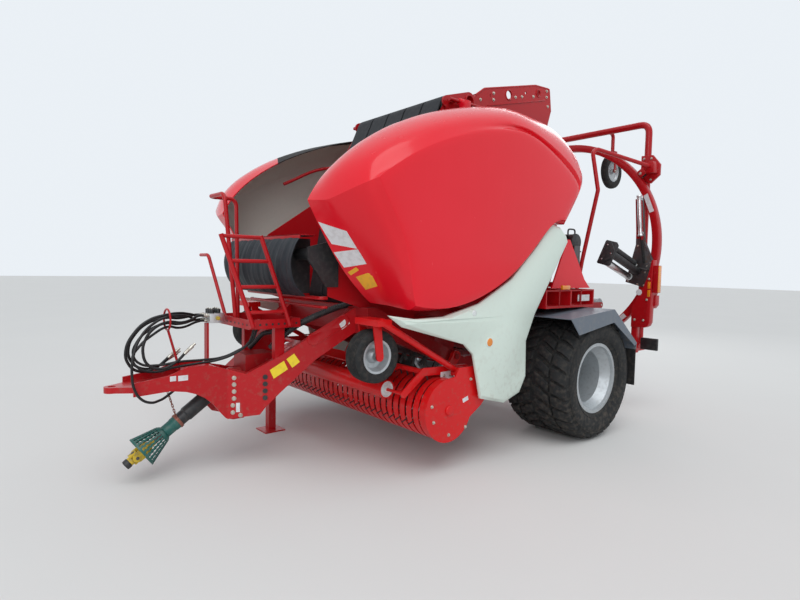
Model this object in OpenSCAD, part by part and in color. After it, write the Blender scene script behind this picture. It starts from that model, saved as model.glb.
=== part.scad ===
// Towed round baler with a wrapping ring behind it.
// Sizes are millimetres. X points to the tractor, Y to the left wheel, Z up.
// Places are written from the point on the ground below the axle,
// and at_axle() moves everything so that the middle of the footprint is the origin.

/* [Whole machine] */
// Reach of the hitch eye in front of the axle
hitch_reach = 3790; // [3400:10:4200]
// Inner width of the bale chamber
bale_w = 1230; // [1200:10:1240]
// Thickness of the chamber's side walls
wall_t = 10; // [6:1:14]
// Running clearance between moving pieces
gap = 8; // [6:1:9]

/* [Road wheels] */
// Radius of a tyre out to the lug tips
tyre_r = 570; // [540:5:600]
// Width of a tyre
tyre_w = 710; // [640:10:720]
// Track from tyre centre to tyre centre
track = 2210; // [2200:10:2300]
// Radius of the rim's flange
rim_r = 304; // [290:2:320]
// Depth of a tread lug
lug_h = 26; // [18:1:34]
// Lugs around one half of a tyre
lug_count = 18; // [14:2:20]
// Radius of the stub axle
stub_r = 45; // [38:1:55]

/* [Chamber and tailgate] */
// Radius of the bale chamber's outline
chamber_r = 900; // [860:10:930]
// Height of the chamber's middle
chamber_z = 1850; // [1820:10:1880]
// Place of the chamber's middle
chamber_x = 430; // [400:10:460]
// Place of the tailgate's pivot
pivot_x = 980; // [960:5:1000]
// Height of the tailgate's pivot
pivot_z = 3040; // [3030:5:3050]
// Radius of the pivot tube
pivot_r = 55; // [45:1:60]
// Radius of the belt roll on top
top_roll_r = 100; // [80:5:110]
// Width of one belt
belt_w = 225; // [200:5:230]
// Number of belts
belt_count = 5; // [5:1:5]

/* [Side covers] */
// Half distance between the covers' inner edges
cover_in_y = 745; // [735:5:760]
// Half distance between the covers' shoulders
cover_mid_y = 950; // [930:10:980]
// Half distance between the covers' outer faces
cover_out_y = 1300; // [1270:10:1330]
// Thickness of a cover's wall
cover_t = 22; // [16:1:28]
// Half distance between the covers' hinge lines
cover_hinge_y = 700; // [695:1:710]
// Height of the covers' hinge lines
cover_hinge_z = 2990; // [2980:2:3000]
// Radius of a hinge tube
cover_hinge_r = 16; // [12:1:18]

/* [Drawbar] */
// Half width of the drawbar's front section
nose_half = 150; // [130:5:170]
// Thickness of the drawbar's front plates
nose_t = 14; // [10:1:18]
// Width of one drawbar beam
beam_w = 80; // [70:2:86]
// Place where the beams meet the front section
beam_front_x = 2990; // [2970:5:3010]
// Place where the beams meet the chamber walls
beam_back_x = 2120; // [2100:5:2140]
// Half distance of the beams' outer faces at the back
beam_back_y = 560; // [540:5:580]
// Height of the hitch eye
hitch_z = 690; // [680:5:700]
// Radius of the hitch eye's bore
hitch_r = 25; // [20:1:26]
// Thickness of the hitch tongue at the eye
tongue_t = 40; // [34:1:46]
// Size of the cross-head that joins the beams to the frame
head_w = 90; // [80:5:110]

/* [Parking jack] */
// Place of the jack
jack_x = 2260; // [2255:1:2300]
// Distance of the jack to the right of the middle
jack_y = 600; // [595:1:620]
// Outer size of the jack's square sleeve
jack_sleeve = 90; // [84:2:96]
// Outer size of the jack's square leg
jack_leg_w = 70; // [64:1:72]
// Width of the jack's foot
jack_foot_w = 200; // [160:10:220]

/* [Pickup] */
// Place of the pickup reel's axis
reel_x = 1700; // [1695:5:1710]
// Height of the pickup reel's axis
reel_z = 485; // [480:5:495]
// Half width of the pickup between its end plates
pickup_half = 1190; // [1180:5:1200]
// Radius of the stripper bands
band_r = 235; // [225:5:240]
// Radius at the tips of the tines
tine_r = 285; // [275:5:290]
// Number of stripper bands
band_count = 29; // [21:2:31]
// Place of the pickup's lift pivot
pickup_pivot_x = 1180; // [1170:5:1190]
// Height of the pickup's lift pivot
pickup_pivot_z = 790; // [780:5:800]
// Radius of the windguard's roller
guard_roll_r = 70; // [60:2:74]
// Radius of a gauge wheel
gauge_r = 195; // [180:5:200]
// Width of a gauge wheel
gauge_w = 150; // [130:5:160]

/* [Wrapper] */
// Place of the wrapping ring's plane behind the axle
ring_x = 1500; // [1490:5:1510]
// Height of the ring's middle
ring_z = 1870; // [1860:5:1880]
// Radius of the ring's centre line
ring_r = 1215; // [1205:5:1225]
// Radius of the ring's tube
ring_tube_r = 42; // [36:1:46]
// Length of a film roller
film_w = 700; // [640:10:710]
// Radius of a table roller
table_roll_r = 85; // [75:5:90]
// Half length of a table roller
table_half = 350; // [300:10:352]
// Height of the table's pivot
table_z = 1120; // [1110:5:1130]
// Half distance between the table's rollers
table_gap = 365; // [355:5:370]
// Radius of the bale wheel
bale_wheel_r = 205; // [190:5:210]

/* [Hidden] */
$fn = 48;

fit = 0.05;
wall_in = bale_w / 2;
wall_out = wall_in + wall_t;
rear_reach = ring_x + table_gap + table_roll_r;
origin_shift = (rear_reach - hitch_reach) / 2;
axle_z = tyre_r;
wheel_y = track / 2;
sill_in = wall_out + 20;
sill_w = 80;
sill_out = sill_in + sill_w;
sill_z = 640;
sill_h = 130;
split_gap = 10;
head_z = 1035;
head_top = 1240;

// Point on the tailgate's split line at height z
split_low = [chamber_x, chamber_z - chamber_r - 20];
function split_at(z) = pivot_x + (split_low[0] - pivot_x) * (pivot_z - z) / (pivot_z - split_low[1]);

function unit(v) = v / norm(v);

module at_axle() translate([origin_shift, 0, 0]) children();

module both() {
    children();
    mirror([0, 1, 0]) children();
}

// Plate in the XZ plane whose faces lie at y0 and y0 + t
module side_plate(y0, t) translate([0, y0 + t, 0]) rotate([90, 0, 0]) linear_extrude(t) children();

// Plate in the YZ plane whose faces lie at x0 and x0 + t
module cross_plate(x0, t) translate([x0, 0, 0]) rotate([90, 0, 90]) linear_extrude(t) children();

// Round bar along Y from y0 to y1
module bar_y(x, z, r, y0, y1) translate([x, y1, z]) rotate([90, 0, 0]) cylinder(r = r, h = y1 - y0);

// Round bar along X from x0 to x1
module bar_x(x0, x1, y, z, r) translate([x0, y, z]) rotate([0, 90, 0]) cylinder(r = r, h = x1 - x0);

// Box from one corner to the other
module block(low, high) translate(low) cube(high - low);

// Round bar between two points
module rod(a, b, r) {
    d = b - a;
    len = norm(d);
    translate(a) rotate([0, acos(d[2] / len), atan2(d[1], d[0])]) cylinder(r = r, h = len);
}

// Tube of radius r through a list of points, bent round each corner at the radius bend,
// with each bend a little thicker than the straight tubes that run into it
bend_swell = 0.4;
function turn(p, i) = i == 0 || i == len(p) - 1 ? 0 : acos(unit(p[i] - p[i - 1]) * unit(p[i + 1] - p[i]));

module bent_tube(p, r, bend) {
    cut = [for (i = [0 : len(p) - 1]) bend * tan(turn(p, i) / 2)];
    for (i = [0 : len(p) - 2]) {
        d = unit(p[i + 1] - p[i]);
        rod(p[i] + max(0, cut[i] - 1) * d, p[i + 1] - max(0, cut[i + 1] - 1) * d, r);
    }
    if (len(p) > 2) for (i = [1 : len(p) - 2]) {
        before = unit(p[i] - p[i - 1]);
        after = unit(p[i + 1] - p[i]);
        middle = p[i] + unit(after - before) * bend / cos(turn(p, i) / 2);
        from = unit(p[i] - cut[i] * before - middle);
        axis = unit(cross(before, after));
        multmatrix([[from[0], before[0], axis[0], middle[0]], [from[1], before[1], axis[1], middle[1]],
            [from[2], before[2], axis[2], middle[2]], [0, 0, 0, 1]])
            rotate_extrude(angle = turn(p, i)) translate([bend, 0]) circle(r = r + bend_swell);
    }
}

// Flat link around two round ends
module link(a, ra, b, rb) {
    d = b - a;
    lean = atan2(d[1], d[0]);
    open = acos((ra - rb) / norm(d));
    up = [cos(lean + open), sin(lean + open)];
    down = [cos(lean - open), sin(lean - open)];
    translate(a) circle(r = ra);
    translate(b) circle(r = rb);
    polygon([a + ra * up, b + rb * up, b + rb * down, a + ra * down]);
}

// Drawbar: two side plates, two spread beams, the hitch tongue, the hose hook and the jack's sleeve

beam_angle = atan2(beam_back_y - nose_half, beam_front_x - beam_back_x);
beam_len = (beam_front_x - beam_back_x) / cos(beam_angle);
jack_clear = 0.5;

// Place on the front section, which stretches with the reach of the hitch eye
function nose_at(x) = beam_front_x + (x - 2990) * (hitch_reach - 150 - beam_front_x) / 650;

// Outline of a side plate: place and height
NOSE = [[3640, 650], [3640, 742], [3410, 770], [3280, 818], [3130, 818], [2990, 772], [2860, 732], [2860, 385],
    [2945, 385], [3000, 402], [3045, 455], [3095, 520], [3155, 576], [3220, 614], [3290, 640], [3400, 660]];

module nose_profile() polygon([for (p = NOSE) [p[0] > 2990 ? nose_at(p[0]) : p[0], p[1]]]);

// Outline of a beam along its own length, from the front plate back and up
module beam_profile() polygon([[0, 395], [0, 772], [138, 732], [410, 877], [beam_len, head_top - 4],
    [beam_len, head_z + 4], [648, 826], [387, 580], [279, 473], [236, 416]]);

module tongue() difference() {
    translate([0, 0, hitch_z - tongue_t / 2]) linear_extrude(tongue_t) {
        polygon([[nose_at(3430), -nose_half + nose_t], [nose_at(3430), nose_half - nose_t],
            [nose_at(3600), nose_half - nose_t], [hitch_reach - 50, 50], [hitch_reach - 50, -50],
            [nose_at(3600), -nose_half + nose_t]]);
        translate([hitch_reach - 50, 0]) circle(r = 50);
    }
    translate([hitch_reach - 50, 0, hitch_z - 60]) cylinder(r = hitch_r, h = 120);
}

module jack_sleeve_tube() difference() {
    union() {
        block([jack_x - jack_sleeve / 2, -jack_y - jack_sleeve / 2, 430],
            [jack_x + jack_sleeve / 2, -jack_y + jack_sleeve / 2, 1000]);
        block([jack_x - 40, -jack_y + jack_sleeve / 2, 900], [jack_x + 40, -440, 1000]);
    }
    block([jack_x - jack_leg_w / 2 - jack_clear, -jack_y - jack_leg_w / 2 - jack_clear, 420],
        [jack_x + jack_leg_w / 2 + jack_clear, -jack_y + jack_leg_w / 2 + jack_clear, 985]);
}

module drawbar() at_axle() color("firebrick") {
    both() side_plate(nose_half - nose_t, nose_t) nose_profile();
    both() translate([beam_front_x, nose_half, 0]) mirror([1, 0, 0]) rotate([0, 0, beam_angle])
        intersection() {
            side_plate(-beam_w, beam_w) beam_profile();
            rotate([0, 0, -beam_angle]) block([-200, -100, 0], [beam_front_x - beam_back_x, 900, 2000]);
        }
    block([2880, -nose_half + nose_t, 420], [2900, nose_half - nose_t, 600]);
    block([nose_at(3040), -nose_half + nose_t, 770], [nose_at(3300), nose_half - nose_t, 784]);
    block([nose_at(3042), -150 + nose_t, 780], [nose_at(3042) + 16, -80, 1100]);
    block([2600, -240, 640], [2740, 240, 660]);
    both() block([2600, 250, 840], [2680, 300, 1080]);
    tongue();
    jack_sleeve_tube();
    // hook that carries the hoses
    rod([nose_at(3290), 0, 780], [3372, 0, 1082], 9);
    translate([3375, 0, 1150]) rotate([0, 90, 0]) rotate_extrude() translate([75, 0]) circle(r = 7);
}

// Frame with its cross-head, cross members and stub axles

frame_back = -ring_x + 90;
hub_end = 12;
rear_z = ring_z - ring_r - ring_tube_r - 13;

module main_frame() at_axle() color("firebrick") {
    both() block([frame_back, sill_in, sill_z], [1050, sill_out, sill_z + sill_h]);
    both() side_plate(sill_in, sill_w) polygon([[1050, sill_z], [1050, sill_z + sill_h],
        [beam_back_x - head_w, head_top], [beam_back_x - head_w, head_z]]);
    block([beam_back_x - head_w, -sill_out, head_z], [beam_back_x, sill_out, head_top]);
    block([900, -sill_in, sill_z + 15], [980, sill_in, sill_z + 115]);
    block([-90, -sill_in, sill_z + 10], [90, sill_in, sill_z + 90]);
    // rear cross member below the path of the film dispensers
    block([frame_back, -sill_out, rear_z - 40], [frame_back + 80, sill_out, rear_z]);
    both() block([frame_back, sill_in, rear_z], [frame_back + 80, sill_out, sill_z]);
    // pins of the pickup's arms
    both() bar_y(pickup_pivot_x, pickup_pivot_z, 25, sill_out, sill_out + 50);
    // axle
    block([-70, -sill_out, axle_z - 60], [70, sill_out, axle_z + 60]);
    both() block([-60, sill_in, axle_z + 60], [60, sill_out, sill_z]);
    both() bar_y(0, axle_z, stub_r, sill_out, wheel_y - hub_end);
}

// Chamber: fixed front walls with the tailgate's hinge plates and the covers' hinge tubes

rotor_r = 165;

module front_wall_outline() polygon([
    [split_at(2920) + split_gap / 2, 2920], [1070, 2955], [1110, 3000], [1250, 3000], [1420, 2720], [1740, 2200],
    [2280, 1840],
    [2420, 1700], [2420, 1330], [beam_back_x + 10, head_top], [beam_back_x - head_w, head_top],
    [beam_back_x - head_w, head_z], [1330, 985], [1260, 740], [1180, 710], [1100, 740], [1060, 960],
    [split_at(split_low[1]) + split_gap / 2, split_low[1]]]);

rail_x0 = 640;
rail_x1 = 1280;

module front_walls() at_axle() color("firebrick") {
    both() side_plate(wall_in, wall_t) difference() {
        front_wall_outline();
        translate([pickup_pivot_x, pickup_pivot_z]) circle(r = 30 + fit);
    }
    both() difference() {
        union() {
            side_plate(wall_out + 6, 16) {
                link([1255, 2985], 50, [pivot_x, pivot_z], pivot_r + 24);
                translate([1050, 2900]) square([210, 110]);
            }
            block([1100, wall_out, 2900], [1250, wall_out + 6, 2990]);
        }
        bar_y(pivot_x, pivot_z, pivot_r + fit, wall_out - 40, wall_out + 60);
    }
    bar_y(1050, 2790, 30, -wall_out + 4, wall_out - 4);
    // hinge tubes of the side covers
    both() bar_x(rail_x0, rail_x1, cover_hinge_y, cover_hinge_z, cover_hinge_r);
    both() for (x = [1040, 1200]) block([x, wall_out + 22, cover_hinge_z - 15],
        [x + 40, cover_hinge_y, cover_hinge_z + 15]);
}

// Rolls that carry the belts, from the top to the lower front: place, height, radius
ROLLS = [[1200, 2955, top_roll_r], [1650, 2000, 75], [1760, 1300, 90], [1330, 1120, 95]];
belt_t = 11.7;

module belt_rolls() at_axle() color("dimgray") for (roll = ROLLS)
    bar_y(roll[0], roll[1], roll[2] - belt_t - 0.3, -wall_in, wall_in);

// Loop round the first three rolls
module belt_loop(cut) {
    for (i = [0 : 2]) link([ROLLS[i][0], ROLLS[i][1]], ROLLS[i][2] - cut,
        [ROLLS[(i + 1) % 3][0], ROLLS[(i + 1) % 3][1]], ROLLS[(i + 1) % 3][2] - cut);
    polygon([for (i = [0 : 2]) [ROLLS[i][0], ROLLS[i][1]]]);
}

module belts() at_axle() color([0.08, 0.08, 0.09]) {
    pitch = bale_w / belt_count;
    for (i = [0 : belt_count - 1]) side_plate(-wall_in + pitch * (i + 0.5) - belt_w / 2, belt_w)
        difference() {
            belt_loop(0);
            belt_loop(belt_t);
        }
}

// Net box with the rubber curtain in front of the chamber

net_end = 400;

module net_outline(inset) polygon([[2600 - inset, 1760 - inset], [2655 - inset, 1690 - inset / 2],
    [2680 - inset, 1600], [2672 - inset, 1500], [2630 - inset, 1410 + inset / 2], [2560 - inset / 2, 1345 + inset],
    [2440 - 4 * inset, 1345 + inset], [2440 - 4 * inset, 1760 - inset]]);

module net_box() at_axle() color([0.10, 0.11, 0.12]) {
    difference() {
        side_plate(-wall_out - 18, wall_out + 18 + net_end) net_outline(0);
        side_plate(-wall_out, wall_out + net_end - 18) net_outline(14);
    }
    both() side_plate(wall_out, 18) polygon([[2340, 1400], [2440, 1400], [2600, 1600], [2600, 1690], [2440, 1730],
        [2340, 1700]]);
    bar_y(2540, 1640, 45, -wall_out, wall_out);
}

// Steps and rails

deck_x = 2480;
deck_len = 420;
deck_y = -330;
deck_w = 660;
deck_z = 1080;
deck_end = deck_y + deck_w;

module platform() at_axle() color("firebrick") difference() {
    block([deck_x, deck_y, deck_z], [deck_x + deck_len, deck_end, deck_z + 70]);
    block([deck_x + 6, deck_y + 6, deck_z + 6], [deck_x + deck_len - 6, deck_end - 6, deck_z + 80]);
    for (i = [0 : 4], k = [0 : 5]) translate([deck_x + 60 + 75 * i, deck_y + 65 + 105 * k, deck_z - 1])
        cylinder(r = 22, h = 20);
}

// Ladder and handrail stand on the deck
module ladder() at_axle() color("firebrick") {
    stile_y = deck_end + 22;
    foot = [2580, stile_y, deck_z + 20];
    top = [2805, stile_y - 40, 1768];
    side = [300, 0, 0];
    for (k = [0, 1]) {
        rod(foot + k * side, top + k * side, 17);
        block([foot[0] + k * side[0] - 20, deck_end, deck_z + 10], [foot[0] + k * side[0] + 20, stile_y + 6, deck_z + 60]);
    }
    for (step = [0.16, 0.44, 0.72, 0.98]) rod(foot + step * (top - foot), foot + side + step * (top - foot), 14);
    // rail round the deck
    bent_tube([[2868, 20, deck_z + 8], [2960, 20, 2090], [2960, -290, 2090], [2735, -290, 2090],
        [2718, -290, deck_z + 8]], 16, 60);
    bent_tube([[2850, -200, deck_z + 12], [2900, -470, 1630], [2900, -640, 1630]], 14, 60);
    for (p = [[2868, 20], [2718, -290], [2850, -200]]) block([p[0] - 26, p[1] - 26, deck_z + 6],
        [p[0] + 26, p[1] + 26, deck_z + 16]);
}

// White side panels: lower band, rising arm and leg

white_t = 24;
white_in = cover_out_y - 70;

module white_outline() polygon([[2340, 1235], [2215, 1150], [1600, 985], [1500, 900],
    [1400, 545], [1120, 470], [920, 530], [840, 660], [850, 960], [735, 1190], [300, 1815], [415, 1935],
    [540, 1955], [740, 1755], [1060, 1480], [1450, 1290], [1830, 1205], [2100, 1200]]);

module white_panels() at_axle() color([0.84, 0.90, 0.86]) both() {
    side_plate(white_in, white_t) white_outline();
    block([1050, wall_out, 1150], [1110, white_in, 1210]);
    block([1500, wall_out, 1100], [1560, white_in, 1160]);
}

// Red panels behind the white ones
panel_y = 1080;

module rear_panels() at_axle() color("firebrick") both() {
    side_plate(panel_y, 16) polygon([[285, 1388], [60, 1850], [15, 1850], [-259, 1470], [-360, 1388]]);
    block([-60, sill_out, 1390], [0, panel_y, 1440]);
    block([-60, sill_in, sill_z + sill_h], [0, sill_out, 1440]);
}

carrier_x = -240;
carrier_z = 1215;

module roll_carriers() at_axle() color("firebrick") both() {
    difference() {
        block([carrier_x, 780, carrier_z], [carrier_x + 780, 1215, carrier_z + 165]);
        for (x = [carrier_x + 15, carrier_x + 400]) block([x, 795, carrier_z + 15], [x + 365, 1245, carrier_z + 200]);
    }
    for (x = [carrier_x + 20, carrier_x + 710]) {
        block([x, sill_out, carrier_z + 15], [x + 50, 780, carrier_z + 65]);
        block([x, sill_in, sill_z + sill_h], [x + 50, sill_out, carrier_z + 65]);
    }
}

fender_out = wheel_y + tyre_w / 2 + 20;
flap_x = 616;

module fenders() at_axle() color([0.30, 0.33, 0.37]) both() {
    side_plate(800, fender_out - 800) polygon([[556, 1141], [556, 1147], [-150, 1207], [-flap_x + 12, 858],
        [-flap_x + 12, 798], [-flap_x + 18, 798], [-flap_x + 18, 852], [-148, 1199]]);
    side_plate(fender_out, 6) polygon([[556, 1147], [-150, 1207], [-flap_x + 12, 858], [-560, 836], [-150, 1085],
        [420, 1002]]);
    block([80, 800, 1182], [120, 900, carrier_z]);
}

module mud_flaps() at_axle() color([0.06, 0.06, 0.06]) both()
    block([-flap_x, 860, 440], [-flap_x + 12, fender_out - 10, 858]);

// Frame of the wrapper: columns, portal, guards, guide rolls and the bale wheel's fork

sweep_r = ring_r + 35;
guide_r = 30;
guide_at = ring_r + ring_tube_r + guide_r + 0.3;
post_x = -ring_x - 100;
post_y = ring_r - 195;
portal_z = ring_z + ring_r + 155;
column_y = ring_r + 95;
fork_x = -ring_x - 240;
fork_y = 500;
fork_z = 2780;
fork_half = 50;
guard_x = -640;

module guide_unit(a) translate([-ring_x, 0, ring_z]) rotate([a, 0, 0]) {
    bar_x(-46, 46, guide_at, 0, 9);
    bar_x(-30, 30, guide_at, 0, guide_r);
    for (x = [-54, 40]) block([x, guide_at - 24, -40], [x + 14, guide_at + 60, 40]);
    block([-54, guide_at + 40, -40], [54, guide_at + 60, 40]);
}

module ring_frame() at_axle() color("firebrick") {
    // posts and portal behind the ring
    bent_tube([[post_x, post_y, sill_z + 40], [post_x, post_y, portal_z], [post_x, -post_y, portal_z],
        [post_x, -post_y, sill_z + 40]], 38, 110);
    both() {
        // column and its foot
        difference() {
            cross_plate(-ring_x + 60, 90) polygon([[ring_r - 185, sill_z], [column_y, sill_z],
                [column_y, ring_z - 230], [column_y - 30, ring_z - 170], [ring_r - 15, ring_z - 170],
                [ring_r - 185, ring_z - 370]]);
            translate([-ring_x, 0, ring_z]) rotate([0, 90, 0]) cylinder(r = sweep_r, h = 200, $fn = 96);
        }
        block([-ring_x + 90, sill_out, sill_z], [-ring_x + 150, ring_r - 185, sill_z + 120]);
        block([post_x - 40, post_y - 40, sill_z + 10], [-ring_x + 70, post_y + 50, sill_z + 90]);
        // bracket of the upper guide rolls
        cross_plate(-ring_x - 82, 34) polygon([[post_y - 60, ring_z + 730], [post_y + 70, ring_z + 680],
            [post_y + 170, ring_z + 770], [post_y + 170, ring_z + 900], [post_y + 80, ring_z + 1010],
            [post_y - 60, ring_z + 1010]]);
        block([-ring_x - 70, post_y + 55, ring_z + 785], [-ring_x + 60, post_y + 150, ring_z + 920]);
        guide_unit(38);
        guide_unit(-24);
        block([-ring_x - 30, ring_r - 65, ring_z - 720], [-ring_x + 60, ring_r + 45, ring_z - 570]);
        // guard in front of the dispensers
        bent_tube([[guard_x, 765, sill_z + 60], [guard_x, 765, 1300], [guard_x, ring_r - 388, ring_z - 200],
            [guard_x, ring_r - 237, ring_z + 528], [guard_x, ring_r - 315, ring_z + 925],
            [guard_x - 60, ring_r - 300, ring_z + 965], [-ring_x + 40, post_y + 100, ring_z + 860]], 22, 60);
        block([guard_x - 20, sill_out, sill_z + 20], [guard_x + 20, 780, sill_z + 80]);
    }
    // fork of the bale wheel
    bent_tube([[post_x, fork_y, portal_z], [fork_x - 10, fork_y, portal_z], [fork_x - 10, fork_y, fork_z + 240]], 22, 60);
    block([fork_x - 40, fork_y - fork_half, fork_z + 215], [fork_x + 20, fork_y + fork_half, fork_z + 245]);
    for (y = [-fork_half, fork_half - 10]) side_plate(fork_y + y, 10)
        link([fork_x, fork_z], 22, [fork_x - 10, fork_z + 225], 28);
    bar_y(fork_x, fork_z, 12, fork_y - fork_half, fork_y + fork_half);
}

module lamps() at_axle() color("orangered") both() {
    block([-ring_x + 70, column_y, 1330], [-ring_x + 140, column_y + 6, 1630]);
    block([-ring_x + 20, post_y + 80, 680], [-ring_x + 60, column_y - 10, 820]);
}

table_bore_z = table_z - 20;
arm_in = 380;

module table_arms() at_axle() color("firebrick") {
    difference() {
        both() side_plate(arm_in, 40) {
            translate([-ring_x, table_bore_z]) circle(r = 40);
            translate([-ring_x, table_bore_z - 40]) square([ring_x - 250, 70]);
        }
        bar_y(-ring_x, table_bore_z, 20 + fit, -arm_in - 60, arm_in + 60);
    }
    block([-350, -sill_in, table_z - 130], [-270, sill_in, table_z - 60]);
    both() block([-350, sill_in, sill_z + sill_h], [-270, sill_out, table_z - 60]);
}

// Drive and hydraulics

pto_start = [2900, 0, 690];
pto_end = [3560, 0, 215];
pto_pitch = atan2(pto_start[2] - pto_end[2], pto_end[0] - pto_start[0]);
pto_len = norm(pto_end - pto_start);
pto_bore_r = 17.5;
pto_shaft_r = 25;

module along_pto() translate(pto_start) rotate([0, 90 + pto_pitch, 0]) children();

module gearbox() at_axle() color("firebrick") difference() {
    union() {
        block([2580, -110, 660], [2830, 110, 860]);
        bar_x(2830, 2900, 0, pto_start[2], 60);
        translate(pto_start) sphere(r = 66);
    }
    along_pto() translate([0, 0, 8]) cylinder(r = pto_shaft_r + fit, h = 90);
}

HOSE_Y = [-170, -125, -80];

module valve_block() at_axle() color("dimgray") {
    block([2930, -210, 1100], [3060, -40, 1215]);
    for (y = HOSE_Y) bar_x(3060, 3080, y, 1160, 14);
}

module pto_guard() at_axle() color([0.05, 0.30, 0.28]) along_pto() difference() {
    union() {
        translate([0, 0, 52.8]) cylinder(r = 62, h = 380);
        translate([0, 0, 432]) cylinder(r = 50, h = pto_len - 580);
        translate([0, 0, pto_len - 200]) cylinder(r1 = 60, r2 = 120, h = 200);
    }
    translate([0, 0, 50]) cylinder(r = 40, h = pto_len);
    translate([0, 0, pto_len - 190]) cylinder(r1 = 45, r2 = 112, h = 191);
    for (i = [0 : 11]) rotate([0, 0, 30 * i]) translate([55, -7, pto_len - 150]) cube([80, 14, 105]);
}

module pto_yoke() at_axle() color([0.78, 0.66, 0.18]) along_pto() difference() {
    union() {
        translate([0, 0, 10]) cylinder(r = pto_shaft_r, h = pto_len - 20);
        translate([0, 0, pto_len - 60]) cylinder(r = 42, h = 60);
        for (x = [-45, 25]) translate([x, -40, pto_len - 1]) cube([20, 80, 71]);
        translate([-45, 0, pto_len + 50]) rotate([0, 90, 0]) cylinder(r = 12, h = 90);
        translate([0, 0, pto_len + 40]) cylinder(r = 30, h = 90);
    }
    translate([0, 0, pto_len + 60]) cylinder(r = pto_bore_r, h = 90);
}

module jack_leg() at_axle() color("firebrick") {
    block([jack_x - jack_leg_w / 2, -jack_y - jack_leg_w / 2, 12],
        [jack_x + jack_leg_w / 2, -jack_y + jack_leg_w / 2, 620]);
    block([jack_x - jack_foot_w / 2, -jack_y - jack_foot_w / 2, 0],
        [jack_x + jack_foot_w / 2, -jack_y + jack_foot_w / 2, 12]);
}

// Hoses

hose_d = 20;
// Hand-chosen points of each hose: x, y, z
HOSE_1 = [[3080, -170, 1160], [3120, -170, 1160], [3190, -130, 1152], [3280, -70, 1150],
    [3375, -32, 1160], [3490, -40, 1130], [3580, -50, 1050], [3620, -60, 950], [3600, -70, 860],
    [3530, -80, 800], [3430, -85, 800], [3330, -85, 860]];
HOSE_2 = [[3080, -125, 1160], [3120, -125, 1160], [3190, -85, 1176], [3280, -30, 1190],
    [3375, 0, 1185], [3500, 0, 1150], [3600, 0, 1060], [3650, 0, 950], [3630, -15, 850], [3560, -30, 790],
    [3450, -40, 800], [3340, -45, 880]];
HOSE_3 = [[3080, -80, 1160], [3120, -80, 1160], [3190, -40, 1136], [3280, 10, 1125],
    [3375, 32, 1135], [3470, 40, 1100], [3540, 60, 1020], [3560, 80, 930], [3530, 90, 850], [3450, 95, 815],
    [3350, 95, 850], [3270, 90, 920]];

function tangent(p, i) = unit(p[min(i + 1, len(p) - 1)] - p[max(i - 1, 0)]);

// Tube of eight sides with one ring at each point, its sides kept upright
module swept_hose(p, r) {
    sides = 8;
    n = len(p);
    rings = [for (i = [0 : n - 1]) let (t = tangent(p, i), a = unit(cross([0, 1, 0.001], t)), b = cross(t, a))
        for (k = [0 : sides - 1]) p[i] + r * (cos(360 * k / sides) * a + sin(360 * k / sides) * b)];
    walls = [for (i = [0 : n - 2], k = [0 : sides - 1]) let (j = (k + 1) % sides)
        [i * sides + k, i * sides + j, (i + 1) * sides + j, (i + 1) * sides + k]];
    first_cap = [[for (k = [sides - 1 : -1 : 0]) k]];
    last_cap = [[for (k = [0 : sides - 1]) (n - 1) * sides + k]];
    polyhedron(points = rings,
        faces = [for (f = concat(walls, first_cap, last_cap)) [for (m = [len(f) - 1 : -1 : 0]) f[m]]]);
}

module hose_1() at_axle() color([0.05, 0.05, 0.05]) swept_hose(HOSE_1, hose_d / 2);
module hose_2() at_axle() color([0.05, 0.05, 0.05]) swept_hose(HOSE_2, hose_d / 2);
module hose_3() at_axle() color([0.05, 0.05, 0.05]) swept_hose(HOSE_3, hose_d / 2);

// Coupler on the end of each hose
module coupler(p) {
    n = len(p);
    t = unit(p[n - 1] - p[n - 2]);
    rod(p[n - 1], p[n - 1] + 60 * t, 14);
    rod(p[n - 1] + 55 * t, p[n - 1] + 85 * t, 9);
}

module couplers() at_axle() color("silver") for (p = [HOSE_1, HOSE_2, HOSE_3]) coupler(p);

// Road wheels

bead_y = tyre_w / 2 - 57;

module tyre_profile() polygon([
    [rim_r, -bead_y], [rim_r + 22, -bead_y - 2], [rim_r + 60, -tyre_w / 2 + 12], [rim_r + 140, -tyre_w / 2],
    [tyre_r - 90, -tyre_w / 2 + 14], [tyre_r - lug_h - 10, -tyre_w / 2 + 60], [tyre_r - lug_h, -tyre_w / 2 + 120],
    [tyre_r - lug_h, tyre_w / 2 - 120], [tyre_r - lug_h - 10, tyre_w / 2 - 60], [tyre_r - 90, tyre_w / 2 - 14],
    [rim_r + 140, tyre_w / 2], [rim_r + 60, tyre_w / 2 - 12], [rim_r + 22, bead_y + 2], [rim_r, bead_y]]);

module tyre() rotate([-90, 0, 0]) {
    rotate_extrude($fn = 72) tyre_profile();
    intersection() {
        for (i = [0 : lug_count - 1], side = [-1, 1])
            rotate([0, 0, (i + (side > 0 ? 0.5 : 0)) * 360 / lug_count])
                translate([tyre_r - lug_h / 2 - 8, 0, side * tyre_w / 4])
                    rotate([side * 28, 0, 0]) cube([lug_h + 16, 70, tyre_w / 2 - 30], center = true);
        cylinder(r = tyre_r, h = tyre_w - 8, center = true, $fn = 72);
    }
}

module rim_profile() polygon([
    [rim_r + 20, -bead_y - 11], [rim_r + 20, -bead_y - 2.6], [rim_r - 0.3, -bead_y - 0.6],
    [rim_r - 0.3, bead_y + 0.6], [rim_r + 20, bead_y + 2.6], [rim_r + 20, bead_y + 11], [rim_r - 8, bead_y + 11],
    [rim_r - 14, bead_y - 16], [rim_r - 62, bead_y - 98], [rim_r - 74, 30], [rim_r - 74, -bead_y + 148],
    [rim_r - 30, -bead_y + 18], [rim_r - 8, -bead_y - 11]]);

disc_y = -60;

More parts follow.
